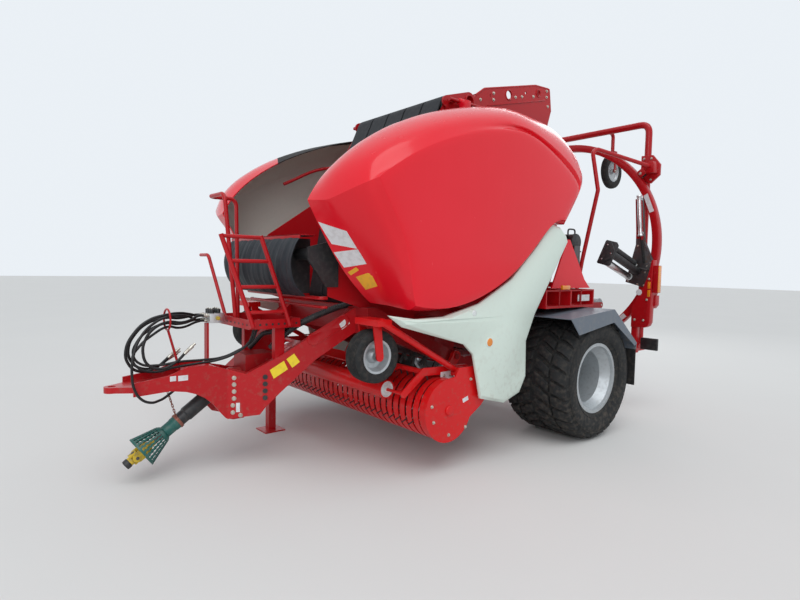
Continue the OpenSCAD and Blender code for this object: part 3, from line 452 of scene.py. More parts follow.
# %% Pale and grey panels
def panel_finish(name, colour, dirt_colour, roughness, dirt):
    panel = Finish(name, coat_weight=0.15, coat_roughness=0.3)
    low = 1 - panel.band(panel.axis("Z"), 0.45, 1.3)
    splash = panel.band(panel.noise(24, 8), 0.48, 0.74) * (low * 0.85 + 0.15) * dirt
    runs = panel.band(panel.noise(1, 4, stretch=(18, 18, 0.7)), 0.5, 0.85) * 0.14 * dirt
    panel.set(base_color=panel.mix(colour, dirt_colour, splash + runs),
              roughness=panel.noise(30, 4) * 0.12 + roughness + splash * 0.3)
    panel.bump(panel.noise(220, 2), 0.06, 0.0006)
    return panel.material


pale_panel = panel_finish("pale_panel", (0.66, 0.76, 0.69), (0.42, 0.4, 0.34), 0.34, 0.3)
slate_panel = panel_finish("slate_panel", (0.12, 0.145, 0.18), (0.3, 0.27, 0.24), 0.42, 0.8)
inner_grey = panel_finish("inner_grey", (0.74, 0.73, 0.67), (0.4, 0.38, 0.34), 0.55, 0.4)
print("panels:", pale_panel.name, slate_panel.name, inner_grey.name)

# %% [markdown]
# Rubber is dark and dull, and it shows what it has touched. Tyres hold pale dust in
# their grooves and on their walls, belts are cast with a fine diamond grip, and a
# hose is smooth with a slight sheen along its top.

# %% Rubber
def rubber(name, colour, dusty, roughness, dust, scale=26.0, grip=0.0):
    rub = Finish(name, specular_ior_level=0.35)
    patches = rub.band(rub.noise(scale, 8), 0.4, 0.78) * dust
    low = 1 - rub.band(rub.axis("Z"), 0.0, 0.9)
    rub.set(base_color=rub.mix(colour, dusty, patches * (low * 0.5 + 0.5)),
            roughness=rub.noise(18, 5) * 0.18 + roughness + patches * 0.1)
    height = rub.noise(150, 4)
    if grip:
        weave = rub.node("ShaderNodeTexVoronoi", {"feature": "SMOOTH_F1"}, {"Vector": rub.where, "Scale": grip})
        height = height * 0.3 + weave
    rub.bump(height, 0.35, 0.0016)
    return rub.material


tyre_rubber = rubber("tyre_rubber", (0.016, 0.017, 0.018), (0.1, 0.085, 0.07), 0.72, 0.75)
belt_rubber = rubber("belt_rubber", (0.022, 0.024, 0.028), (0.1, 0.1, 0.1), 0.62, 0.45, grip=120.0)
hose_rubber = rubber("hose_rubber", (0.01, 0.01, 0.011), (0.06, 0.055, 0.05), 0.38, 0.35, scale=40.0)
flap_rubber = rubber("flap_rubber", (0.014, 0.014, 0.015), (0.12, 0.1, 0.085), 0.6, 0.5)
curtain_rubber = rubber("curtain_rubber", (0.014, 0.019, 0.025), (0.045, 0.05, 0.055), 0.5, 0.5)
print("rubbers:", tyre_rubber.name, belt_rubber.name, hose_rubber.name, flap_rubber.name)

# %% [markdown]
# Metal comes in three kinds here: the silver paint of the rims, bare or zinc-plated
# steel on bolts and pins, and dark steel that has gone brown where it is worn.

# %% Metals
def metal(name, colour, tarnish, roughness, metallic=1.0, stain=0.4, brushed=None, coat=0.0):
    steel = Finish(name, metallic=metallic, coat_weight=coat)
    spots = steel.band(steel.noise(34, 7), 0.45, 0.75) * stain
    lines = steel.noise(1.0, 3, stretch=brushed) if brushed else steel.noise(60, 3)
    steel.set(base_color=steel.mix(colour, tarnish, spots), roughness=lines * 0.16 + roughness + spots * 0.25)
    steel.bump(lines, 0.08, 0.0006)
    return steel.material


rim_silver = metal("rim_silver", (0.46, 0.49, 0.51), (0.26, 0.25, 0.24), 0.36, metallic=0.55, stain=0.3, coat=0.2)
zinc = metal("zinc", (0.58, 0.56, 0.5), (0.28, 0.22, 0.16), 0.3, stain=0.5)
bright_steel = metal("bright_steel", (0.66, 0.66, 0.67), (0.3, 0.27, 0.24), 0.22, stain=0.3, brushed=(400, 400, 400))
dark_steel = metal("dark_steel", (0.13, 0.13, 0.135), (0.16, 0.09, 0.05), 0.42, stain=0.6)
roller_steel = metal("roller_steel", (0.34, 0.34, 0.35), (0.16, 0.15, 0.14), 0.34, metallic=0.8, stain=0.5,
                     brushed=(3, 260, 260))
rusty_chain = metal("rusty_chain", (0.3, 0.12, 0.09), (0.22, 0.1, 0.05), 0.5, metallic=0.7, stain=0.9)
print("metals:", rim_silver.name, zinc.name, bright_steel.name, dark_steel.name, roller_steel.name)

# %% [markdown]
# Small plastic things carry the accents: the green guard of the drive shaft, its
# yellow joint, orange and red lenses, stickers in yellow and white without any words.

# %% Plastics and lenses
def plastic(name, colour, dirt_colour, roughness, dirt=0.3, grain=90.0, coat=0.0):
    cast = Finish(name, coat_weight=coat)
    marks = cast.band(cast.noise(28, 7), 0.42, 0.75) * dirt
    cast.set(base_color=cast.mix(colour, dirt_colour, marks), roughness=cast.noise(40, 3) * 0.12 + roughness)
    cast.bump(cast.noise(grain, 3), 0.12, 0.0008)
    return cast.material


def lens(name, colour):
    glass = Finish(name, coat_weight=0.8, coat_roughness=0.05)
    prisms = glass.node("ShaderNodeTexChecker", inputs={"Vector": glass.where, "Scale": 220.0}, output=1)
    glass.set(base_color=glass.mix(colour, tuple(c * 0.55 for c in colour), prisms * 0.5),
              roughness=glass.noise(30, 3) * 0.1 + 0.12)
    glass.bump(prisms, 0.3, 0.0006)
    return glass.material


guard_green = plastic("guard_green", (0.006, 0.1, 0.085), (0.1, 0.16, 0.14), 0.42, 0.6)
joint_yellow = plastic("joint_yellow", (0.6, 0.42, 0.03), (0.12, 0.09, 0.05), 0.42, 0.75)
black_plastic = plastic("black_plastic", (0.015, 0.015, 0.017), (0.07, 0.065, 0.06), 0.4, 0.4)
film_white = plastic("film_white", (0.72, 0.76, 0.76), (0.5, 0.52, 0.5), 0.28, 0.4, grain=30.0, coat=0.3)
sticker_yellow = plastic("sticker_yellow", (0.82, 0.42, 0.02), (0.46, 0.26, 0.04), 0.38, 0.35)
sticker_lemon = plastic("sticker_lemon", (0.86, 0.66, 0.02), (0.5, 0.36, 0.04), 0.38, 0.3)
sticker_white = plastic("sticker_white", (0.72, 0.72, 0.74), (0.45, 0.42, 0.42), 0.4, 0.45)
orange_lens = lens("orange_lens", (0.88, 0.27, 0.01))
red_lens = lens("red_lens", (0.7, 0.03, 0.015))
print("finishes so far:", len(bpy.data.materials))

# %% [markdown]

# %% [markdown]
# Every solid that stays visible gets its finish in its own material slot.

# %% Finishes of the solids
SOLIDS_OF = (
    (frame_red, "drawbar front_walls platform ladder roll_carriers ring_frame table_arms tailgate jack_leg wrap_ring"),
    (deep_red, "main_frame gearbox table_frame"), (cover_red, "rear_panels cover_left cover_right"),
    (pickup_red, "pickup_frame pickup_bands windguard windguard_roller"), (pale_panel, "white_panels"),
    (slate_panel, "fenders"), (red_lens, "lamps"), (belt_rubber, "belts"), (hose_rubber, "hose_1 hose_2 hose_3"),
    (tyre_rubber, "tyre_left tyre_right gauge_wheel_left gauge_wheel_right bale_wheel"), (flap_rubber, "mud_flaps"),
    (black_plastic, "net_box"), (guard_green, "pto_guard"), (joint_yellow, "pto_yoke"), (zinc, "couplers"),
    (rim_silver, "rim_left rim_right"), (dark_steel, "belt_rolls valve_block pickup_reel feed_rotor"),
    (roller_steel, "dispensers table_roller_front table_roller_rear"),
)
finish_of = {name: finish for finish, names in SOLIDS_OF for name in names.split()}
for name, finish in finish_of.items():
    slots = node[name].data.materials
    slots.clear()
    slots.append(finish)
print("solids without a finish:", sorted(set(node) - set(finish_of)))

# %% [markdown]
# Three hydraulic hoses end free, ready for the tractor. Each leaves the valve block,
# runs over the hook on the drawbar, drops in a loop in front of it and comes back to
# rest on the drawbar's top plate, with its coupler on the end. A hose is a curve with
# a round section, and it follows the same points as its solid.

# %% Hydraulic hoses
HOSE_RADIUS = 0.01
HOSES = {
    "hose_1": [(3.08, -0.17, 1.16), (3.12, -0.17, 1.16), (3.19, -0.13, 1.152), (3.28, -0.07, 1.15),
               (3.375, -0.032, 1.16), (3.49, -0.04, 1.13), (3.58, -0.05, 1.05), (3.62, -0.06, 0.95),
               (3.6, -0.07, 0.86), (3.53, -0.08, 0.8), (3.43, -0.085, 0.8), (3.33, -0.085, 0.86)],
    "hose_2": [(3.08, -0.125, 1.16), (3.12, -0.125, 1.16), (3.19, -0.085, 1.176), (3.28, -0.03, 1.19),
               (3.375, 0.0, 1.185), (3.5, 0.0, 1.15), (3.6, 0.0, 1.06), (3.65, 0.0, 0.95),
               (3.63, -0.015, 0.85), (3.56, -0.03, 0.79), (3.45, -0.04, 0.8), (3.34, -0.045, 0.88)],
    "hose_3": [(3.08, -0.08, 1.16), (3.12, -0.08, 1.16), (3.19, -0.04, 1.136), (3.28, 0.01, 1.125),
               (3.375, 0.032, 1.135), (3.47, 0.04, 1.1), (3.54, 0.06, 1.02), (3.56, 0.08, 0.93),
               (3.53, 0.09, 0.85), (3.45, 0.095, 0.815), (3.35, 0.095, 0.85), (3.27, 0.09, 0.92)],
}


def laid(line, route, radius, far_end, **more):
    """Finishes a free hose."""
    finished(line, hose_rubber)
    at(*route[0])


# Pieces of a coupler: where it starts and ends along the hose, its radius and its sides.
COUPLER = (("sleeve", -0.022, 0.02, 0.0125, 20), ("collar", 0.018, 0.036, 0.0145, 6),
           ("plug", 0.034, 0.06, 0.0135, 24), ("nose", 0.058, 0.085, 0.0088, 20))
for name, route in HOSES.items():
    line = hose("free_" + name, route, HOSE_RADIUS)
    last = Vector(route[-1])
    ahead = (last - Vector(route[-2])).normalized()
    parts = [bar(part, last + start * ahead, last + end * ahead, radius, sides)
             for part, start, end, radius, sides in COUPLER]
    coupler = soften(joined("coupler_of_" + name, parts), 0.001, 2)
    finished(coupler, zinc, replaces="couplers")
    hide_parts(name)
    laid(line, route, HOSE_RADIUS, "connector", with_pieces=[coupler])

# %% [markdown]
# The covers are the face of the machine: big pressed shells, crowned along the top,
# folded at the front and with a groove along the rear of the outer face. A shell
# like this is easiest as a net of quads. A grid is added and its corners are pulled
# to rings of places, from the inner edge over the shoulder to the outer face. Creases
# keep the folds crisp when the net is smoothed, and Solidify gives it its sheet.

# %% A net of quads
def skin(name, rings, closed=False):
    rings = [ring + ring[:1] if closed else ring for ring in rings]
    deselect()
    bpy.ops.mesh.primitive_grid_add(x_subdivisions=len(rings[0]) - 1, y_subdivisions=len(rings) - 1)
    piece = bpy.context.object
    for vertex, place in zip(piece.data.vertices, [place for ring in rings for place in ring]):
        vertex.co = at(*place)
    return outward(settle(name))


def between(a, b, share):
    return tuple(p + (q - p) * share for p, q in zip(a, b))


print("a third of the way along:", between((0, 0, 0), (3, 6, 9), 1 / 3))

# %% Guide lines of a cover
# Each row is one station round the cover: x and z on the inner edge, on the shoulder,
# on the rounding and on the outer face, then how deep the groove is there.
COVER_STATIONS = [
    (2.672, 2.008, 2.64, 1.992, 2.565, 2.075, 2.47, 2.13, 0.0),
    (2.59, 2.15, 2.625, 2.205, 2.48, 2.275, 2.3, 2.245, 0.0),
    (2.43, 2.325, 2.4, 2.435, 2.23, 2.45, 2.06, 2.38, 0.0),
    (2.14, 2.53, 2.04, 2.655, 1.91, 2.6, 1.8, 2.49, 0.0),
    (1.76, 2.71, 1.61, 2.815, 1.55, 2.72, 1.5, 2.575, 0.0),
    (1.3, 2.87, 1.21, 2.91, 1.18, 2.8, 1.22, 2.625, 0.006),
    (0.87, 2.96, 0.87, 2.975, 0.9, 2.83, 0.95, 2.64, 0.014),
    (0.5, 2.96, 0.5, 2.955, 0.6, 2.77, 0.7, 2.56, 0.014),
    (0.25, 2.93, 0.2, 2.95, 0.33, 2.7, 0.46, 2.45, 0.014),
    (0.1, 2.895, -0.05, 2.84, 0.11, 2.6, 0.3, 2.36, 0.014),
    (-0.01, 2.78, -0.19, 2.71, 0.0, 2.48, 0.225, 2.29, 0.014),
    (-0.04, 2.7, -0.255, 2.56, -0.03, 2.4, 0.235, 2.23, 0.014),
    (0.03, 2.55, -0.15, 2.23, 0.11, 2.18, 0.33, 2.12, 0.014),
    (0.12, 2.4, 0.06, 1.975, 0.29, 1.965, 0.4, 2.0, 0.008),
    (0.4, 2.13, 0.44, 1.962, 0.53, 1.975, 0.56, 1.99, 0.0),
    (0.7, 1.88, 0.72, 1.79, 0.746, 1.785, 0.762, 1.8, 0.0),
    (1.1, 1.6, 1.064, 1.515, 1.064, 1.505, 1.072, 1.52, 0.0),
    (1.5, 1.36, 1.452, 1.33, 1.454, 1.32, 1.46, 1.335, 0.0),
    (1.8, 1.275, 1.838, 1.245, 1.84, 1.238, 1.842, 1.25, 0.0),
    (2.12, 1.28, 2.108, 1.272, 2.13, 1.255, 2.14, 1.295, 0.0),
    (2.319, 1.461, 2.237, 1.514, 2.215, 1.51, 2.18, 1.54, 0.0),
    (2.456, 1.643, 2.345, 1.64, 2.3, 1.66, 2.24, 1.765, 0.0),
    (2.594, 1.87, 2.5, 1.825, 2.445, 1.88, 2.37, 1.96, 0.0),
]
RING_Y = (0.745, 0.95, 1.205, 1.296)
GROOVE_SCALE = 2.2


def cover_rings():
    inner, shoulder, rounding, face = (
        [(row[2 * k], y, row[2 * k + 1]) for row in COVER_STATIONS] for k, y in enumerate(RING_Y))
    groove = []
    for share, sunk in ((0.6, 0), (0.67, 1), (0.8, 1), (0.87, 0)):
        line = [between(a, b, share) for a, b in zip(rounding, face)]
        groove.append([(x, y - row[8] * GROOVE_SCALE * sunk, z) for row, (x, y, z) in zip(COVER_STATIONS, line)])
    middle = tuple(sum(c) / len(face) for c in zip(*face))
    belly = [[(x, 1.298 + 0.01 * share, z) for x, y, z in (between(place, middle, share) for place in face)]
             for share in (0.35, 0.7, 0.94)]
    return [inner, shoulder, rounding, *groove, face, *belly]


print("rings of a cover:", len(cover_rings()), "with", len(COVER_STATIONS), "stations each")

# %% [markdown]
# A crease says how much of a fold stays when the net is smoothed. The fold runs
# round the front of the shell, the groove is crisp, and the lower edge is sharp. Along
# the top and the rear a rubber flap lies on the inner lip.

# %% Creases of the cover
INNER, SHOULDER, ROUNDING, FACE = 0, 1, 2, 7
FRONT, FRONT_FACE = {19, 20, 21, 22, 0}, {0, 1, 2, 3, 4, 20, 21, 22}
LOWER, FLAP = set(range(13, 20)), range(3, 13)


def crease_of(i, k, j, m):
    """How sharp the edge is between station k of ring i and station m of ring j."""
    along, stations = i == j, {k, m}
    if along and i == INNER:
        return 1.0
    if along and i == SHOULDER and stations <= FRONT:
        return 0.92
    if along and 3 <= i <= 6 and min(COVER_STATIONS[k][8], COVER_STATIONS[m][8]) > 0.005:
        return 0.75
    if along and i == FACE and stations <= FRONT_FACE:
        return 0.55
    if along and i in (ROUNDING, FACE) and stations <= LOWER:
        return 0.8
    return 0.7 if stations in ({0}, {19}, {13}) and max(i, j) <= FACE else 0.0


print("crease along the front of the shoulder:", crease_of(SHOULDER, 20, SHOULDER, 21))

# %% Press the left cover
rings = cover_rings()
cover = skin("dressed_cover_left", rings, closed=True)
rank = {tuple(round(c, 4) for c in at(*place)): (i, k) for i, ring in enumerate(rings) for k, place in enumerate(ring)}
where = [rank[tuple(round(c, 4) for c in v.co)] for v in cover.data.vertices]
crease = cover.data.attributes.new("crease_edge", "FLOAT", "EDGE")
for edge in cover.data.edges:
    a, b = edge.vertices
    crease.data[edge.index].value = crease_of(*where[a], *where[b])
mode("EDIT")
bpy.ops.mesh.select_mode(type="EDGE")
bpy.ops.mesh.select_all(action="DESELECT")
bpy.ops.mesh.select_non_manifold(extend=False)
mode("OBJECT")
for edge in cover.data.edges:
    edge.select = edge.select and where[edge.vertices[0]][0] != INNER
mode("EDIT")
bpy.ops.mesh.edge_face_add()
mode("OBJECT")
for finish in (cover_red, inner_grey, flap_rubber):
    cover.data.materials.append(finish)
for face in cover.data.polygons:
    if all(where[v][0] <= SHOULDER and where[v][1] in FLAP for v in face.vertices):
        face.material_index = 2
use(cover, "SUBSURF", levels=2, render_levels=2)
use(cover, "SOLIDIFY", thickness=0.008, offset=-1, material_offset=1, material_offset_rim=0)
smooth(cover, 28)
print("cover faces:", len(cover.data.polygons))

# %% [markdown]
# The cover hangs on two knuckles that turn on tubes along its top, and its inside has
# a stay, bent to follow the sheet.

# %% Knuckles, stay and the right cover
parts = [cover]
for x in (0.7, 1.11):
    knuckle = soften(bar("knuckle", (x, 0.7, 2.99), (x + 0.06, 0.7, 2.99), 0.028), 0.003)
    ear = soften(box("ear", (x, 0.71, 2.88), (x + 0.06, 0.79, 2.985)), 0.003)
    for piece in (knuckle, ear):
        piece.data.materials.append(cover_red)
    parts += [knuckle, ear]
cover = joined("dressed_cover_left", parts)
twin = other_side(cover, "dressed_cover_right")
for piece, body in ((cover, "cover_left"), (twin, "cover_right")):
    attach(piece, body)
    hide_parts(body)
stay = tube("cover_stay", [(1.15, 0.8, 2.6), (1.55, 0.86, 2.56), (1.98, 0.9, 2.36)], 0.016, sides=4)
finished(stay, frame_red, "cover_left")
finished(other_side(stay, "cover_stay_right"), frame_red, "cover_right")
print("cover hangs on", len(parts) // 2, "knuckles")

# %% [markdown]
# The pale side panel is one moulding in the shape of a Y: an arm to the rear under
# the cover, an arm to the front and a leg between the wheel and the pickup. Its rim
# is rolled inwards, so the outline is extruded and its face is inset and pulled out.
# Ridges run from the three arms to the middle, and bisect cuts make them.

# %% Pale side panels
PANEL = [(2.34, 1.235), (2.215, 1.15), (1.6, 0.985), (1.5, 0.9), (1.405, 0.545), (1.12, 0.47),
         (0.92, 0.53), (0.84, 0.66), (0.85, 0.96), (0.735, 1.19), (0.3, 1.815), (0.415, 1.935),
         (0.54, 1.955), (0.74, 1.755), (1.06, 1.48), (1.45, 1.29), (1.83, 1.205), (2.1, 1.2)]
RIDGE_ENDS = [((0.36, 1.87), (1.08, 1.24)), ((1.22, 1.15), (2.2, 1.185)), ((1.24, 0.5), (1.15, 1.14))]
panel = plate("dressed_panel", PANEL, 0.02, "Y", 1.228)
chosen(panel)
mode("EDIT")
for (x0, z0), (x1, z1) in RIDGE_ENDS:
    bpy.ops.mesh.select_all(action="SELECT")
    bpy.ops.mesh.bisect(plane_co=at(x0, 0, z0), plane_no=(z1 - z0, 0, x0 - x1))
bpy.ops.mesh.select_all(action="DESELECT")
mode("OBJECT")
for face in panel.data.polygons:
    face.select = face.normal.y > 0.9
mode("EDIT")
bpy.ops.mesh.inset(thickness=0.022, depth=0.01)
mode("OBJECT")


def off_ridge(place):
    """Distance in the XZ plane to the nearest of the three ridges."""
    gaps = []
    for (x0, z0), (x1, z1) in RIDGE_ENDS:
        a, b, p = at(x0, 0, z0).xz, at(x1, 0, z1).xz, place.xz
        share = max(0, min(1, (p - a).dot(b - a) / (b - a).length_squared))
        gaps.append((a + (b - a) * share - p).length)
    return min(gaps)


RIDGE_HEIGHT, RIDGE_REACH = 0.028, 0.14
for vertex in panel.data.vertices:
    if vertex.co.y > 1.25:
        vertex.co.y += RIDGE_HEIGHT * max(0, 1 - off_ridge(vertex.co) / RIDGE_REACH)
use(panel, "TRIANGULATE")
soften(panel, 0.004, 3, 25)
smooth(panel, 20)
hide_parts("white_panels")
struts = [box("strut", (x, 0.625, z), (x + 0.06, 1.23, z + 0.06)) for x, z in ((1.05, 1.15), (1.5, 1.1))]
finished(both_sides(soften(joined("panel_brackets", struts), 0.004)), deep_red)
panel = finished(both_sides(panel), pale_panel)
print("panel faces:", len(panel.data.polygons))

# %% [markdown]
# Each panel carries a round orange reflector, and there is a paler one near the front
# arm. A reflector is a shallow dome in a rim, modelled from a cylinder whose front is
# inset and pulled out.

# %% Round reflectors
def button(name, centre, radius, rim_finish, lens_finish):
    x, y, z = centre
    rim = soften(bar(name + "_rim", (x, y, z), (x, y + 0.008, z), radius, 32), 0.002)
    dome = bar(name, (x, y + 0.006, z), (x, y + 0.013, z), radius * 0.82, 32, radius * 0.66)
    soften(dome, 0.002, 3)
    finished(both_sides(rim), rim_finish)
    finished(both_sides(dome), lens_finish, slot="lamp_red")


REFLECTORS = (("side_reflector", (1.335, 1.262, 0.985), 0.042, pale_panel, orange_lens),
              ("front_reflector", (1.53, 1.268, 1.222), 0.03, pale_panel, film_white))
for reflector in REFLECTORS:
    button(*reflector)
print("reflectors on each side:", len(REFLECTORS))

# %% [markdown]
# A flotation tyre is a wide, round-shouldered carcass with blocks on it. The carcass
# is a profile spun about the axle. One block is modelled, bevelled and copied in four
# rows, staggered from row to row and leaning the other way on the far side.

# %% Road tyres
TYRE_R, TRACK = 0.57, 2.21
CARCASS = [(0.306, -0.296), (0.322, -0.304), (0.345, -0.322), (0.385, -0.343), (0.43, -0.353), (0.47, -0.351),
           (0.505, -0.338), (0.528, -0.312), (0.538, -0.27), (0.543, -0.15), (0.545, 0.0)]
CARCASS = CARCASS + [(r, -y) for r, y in reversed(CARCASS[:-1])]
# Rows of blocks: place across the tread, width, lean, shift from row to row, length.
BLOCK_ROWS = ((-0.262, 0.135, 0.03, 0.0, 0.1), (-0.098, 0.15, 0.04, 0.5, 0.082),
              (0.098, 0.15, -0.04, 0.0, 0.082), (0.262, 0.135, -0.03, 0.5, 0.1))
BLOCKS_ROUND = 28
SIDES = ((1, "left"), (-1, "right"))


def road_tyre(name, side):
    hub, axle = (0, side * TRACK / 2, TYRE_R), at(0, 0, 0)
    carcass = smooth(spun(name, CARCASS, hub, steps=96), 50)
    ribs = [smooth(spun("rib", [(r, side * y + 0.002), (r + 0.004, side * y + 0.006 * side), (r + 0.008, side * y)],
                        hub, steps=72), 50) for r, y in ((0.36, 0.331), (0.488, 0.346))]
    blocks = []
    for y, width, lean, shift, length in BLOCK_ROWS:
        half = length / 2
        outline = [(-half + lean, y - width / 2), (half + lean, y - width / 2), (half * 0.8, y),
                   (half - lean, y + width / 2), (-half - lean, y + width / 2), (-half * 1.2, y)]
        block = plate("block", outline, 0.034, "Z")
        for vertex in block.data.vertices:
            taper = 1.06 if vertex.co.z < 0.01 else 0.94
            vertex.co.z += TYRE_R - 0.036 - max(0.0, abs(vertex.co.y) - 0.25) * 0.42
            vertex.co.x = axle.x + (vertex.co.x - axle.x) * taper
        soften(block, 0.006, 2)
        turns = [carried(Matrix.Rotation(math.tau * (k + shift) / BLOCKS_ROUND, 4, "Y"), axle, at(*hub))
                 for k in range(BLOCKS_ROUND)]
        blocks.append(copies(block, "row", turns))
    return joined(name, [carcass, *ribs, *blocks])


for side, word in SIDES:
    tyre = road_tyre("dressed_tyre_" + word, side)
    finished(tyre, tyre_rubber, "wheel_" + word, replaces="tyre_" + word)
print("tyre faces:", len(tyre.data.polygons))

# %% [markdown]
# Deep in the dished rim sit the wheel nuts round the hub, with its cap, and the valve
# pokes through the disc. A nut is a six-sided cylinder with a washer.

# %% Wheel nuts, cap and valve
def bolt(name, place, direction, size=0.012, height=0.01):
    """A hexagon head on a washer: size is the head's radius, direction points outwards."""
    place, direction = Vector(place), Vector(direction).normalized()
    washer = bar("washer", place, place + direction * height * 0.25, size * 1.35, 20)
    head = bar("head", place + direction * height * 0.25, place + direction * height * 1.25, size, 6)
    stud = bar("stud", place + direction * height, place + direction * height * 1.6, size * 0.55, 12)
    return soften(joined(name, [washer, head, stud]), size * 0.1, 1)


def bolts(places, direction, size=0.012, height=0.01):
    return [bolt("bolt", place, direction, size, height) for place in places]


NUTS, NUT_CIRCLE = 8, 0.128
for side, word in SIDES:
    wheel, y, out = "wheel_" + word, side * (TRACK / 2 - 0.044), (0, side, 0)
    angles = [math.tau * (k + 0.5) / NUTS for k in range(NUTS)]
    nuts = bolts([(NUT_CIRCLE * math.cos(a), y, TYRE_R + NUT_CIRCLE * math.sin(a)) for a in angles], out, 0.016, 0.016)
    dome = [(0.0005, 0.062), (0.03, 0.06), (0.052, 0.048), (0.06, 0.02), (0.062, 0.0), (0.0005, 0.0)]
    cap = spun("cap", [(r, side * y_out) for r, y_out in dome], (0, y + side * 0.055, TYRE_R), steps=32)
    fitted("wheel_nuts_" + word, nuts, zinc, wheel)
    finished(smooth(cap), dark_steel, wheel)
    valve = bar("valve_" + word, (0.2, y, TYRE_R - 0.02), (0.215, y + side * 0.055, TYRE_R - 0.02), 0.007, 12)
    finished(soften(valve, 0.001), black_plastic, wheel)
print("hubs done")

# %% [markdown]
# The two gauge wheels hold the pickup off the ground. Their tyres have fine ribs all
# round, and their rims are pressed steel in a pale paint.

# %% Gauge wheels
GAUGE = (2.262, 0.975, 0.922)
SIDE_WALL = [(0.112, 0.052), (0.122, 0.06), (0.15, 0.0735), (0.172, 0.074), (0.185, 0.067)]
GAUGE_RIM = [(0.03, -0.075), (0.03, -0.04), (0.055, -0.012), (0.085, -0.01), (0.1, -0.035), (0.106, -0.058),
             (0.122, -0.062), (0.124, -0.056), (0.111, -0.05), (0.106, 0.0), (0.111, 0.05), (0.124, 0.056),
             (0.122, 0.062), (0.106, 0.058), (0.098, 0.03), (0.085, 0.006), (0.055, 0.004), (0.03, 0.04),
             (0.03, 0.075)]
ribs = []
for k in range(9):
    y = -0.056 + 0.014 * k
    crown = 0.1935 - 1.6 * y * y
    ribs += [(crown, y - 0.004), (crown, y + 0.004), (crown - 0.005, y + 0.0055), (crown - 0.005, y + 0.0085)]
profile = [(r, -y) for r, y in SIDE_WALL] + ribs[:-2] + SIDE_WALL[::-1]
for side, word in SIDES:
    hub = (GAUGE[0], side * GAUGE[1], GAUGE[2])
    tyre = smooth(spun("gauge_tyre_" + word, profile, hub, steps=64), 40)
    rim = smooth(spun("gauge_rim_" + word, GAUGE_RIM, hub, steps=48), 30)
    finished(tyre, tyre_rubber, "gauge_" + word, replaces="gauge_wheel_" + word)
    finished(rim, rim_silver, "gauge_" + word)
print("gauge wheels done")

# %% [markdown]
# In front of the chamber hangs a curtain of heavy black rubber over the net box. Its
# own stiffness makes shallow upright folds, so it is a net of quads whose rings go
# from the top lip round to the bottom edge, each pushed in and out along its width.

# %% Rubber curtain
CURTAIN_PROFILE = [(2.5, 1.772), (2.575, 1.778), (2.612, 1.768), (2.645, 1.722), (2.668, 1.665), (2.686, 1.6),
                   (2.684, 1.54), (2.677, 1.49), (2.66, 1.44), (2.636, 1.398), (2.6, 1.362), (2.566, 1.334)]
CURTAIN_ENDS, CURTAIN_CUTS = (-0.648, 0.56), 84


def fold(y, row):
    return (0.0035 * math.sin(31 * y + 0.5 * row) + 0.0025 * math.sin(73 * y + 1.7)
            + 0.002 * math.sin(140 * y + row)) * min(1.0, row / 3)


width = CURTAIN_ENDS[1] - CURTAIN_ENDS[0]
steps = [CURTAIN_ENDS[0] + width * k / CURTAIN_CUTS for k in range(CURTAIN_CUTS + 1)]
rings = [[(x + 0.004 + fold(y, row), y, z) for y in steps] for row, (x, z) in enumerate(CURTAIN_PROFILE)]
curtain = skin("curtain", rings)
use(curtain, "SUBSURF", levels=1, render_levels=1)
use(curtain, "SOLIDIFY", thickness=0.004, offset=1)
smooth(curtain, 60)
finished(curtain, curtain_rubber)
rail = [box("lip", (x, -0.65, z), (2.625, 0.563, 1.784)) for x, z in ((2.485, 1.776), (2.617, 1.752))]
finished(soften(joined("curtain_rail", rail), 0.002), frame_red)

# %% [markdown]
# The wrapper stands behind the chamber. Its ring is a rolled square tube, so its
# section is a small square with rounded corners that is spun about the ring's middle.

# %% Wrapping ring
RING_X, RING_Z, RING_R = -1.5, 1.87, 1.215
TUBE_HALF, TUBE_CORNER = 0.0418, 0.011
flat, arc = TUBE_HALF - TUBE_CORNER, TUBE_HALF - TUBE_CORNER * 0.3
section = [(TUBE_HALF, -flat), (TUBE_HALF, flat), (arc, arc), (flat, TUBE_HALF), (-flat, TUBE_HALF), (-arc, arc)]
section += [(-a, -b) for a, b in section]
ring = smooth(spun("dressed_ring", [(RING_R + a, b) for a, b in section], (RING_X, 0, RING_Z), axis="X", steps=144), 30)
finished(ring, frame_red, "ring", replaces="wrap_ring")
print("ring faces:", len(ring.data.polygons))

# %% [markdown]
# Four guide rolls hold the ring from outside. Each sits between two ears, on an axle
# with a nut at both ends. One is modelled beside the ring's middle and turned about
# the ring's axis into its four places.

# %% Guide rolls
def local(x, y, z):
    """A place from the ring's middle: x forward, y outward, z along the rim."""
    return (RING_X + x, y, RING_Z + z)


RING_MIDDLE = at(*local(0, 0, 0))


def turned(angle):
    """The move that turns a piece about the ring's axis."""
    return carried(Matrix.Rotation(math.radians(angle), 4, "X"), RING_MIDDLE)


def across(name, outline, thickness, x):
    """A plate square to the ring's axis, with its outline and x from the ring's middle."""
    return plate(name, [(y, RING_Z + z) for y, z in outline], thickness, "X", RING_X + x)


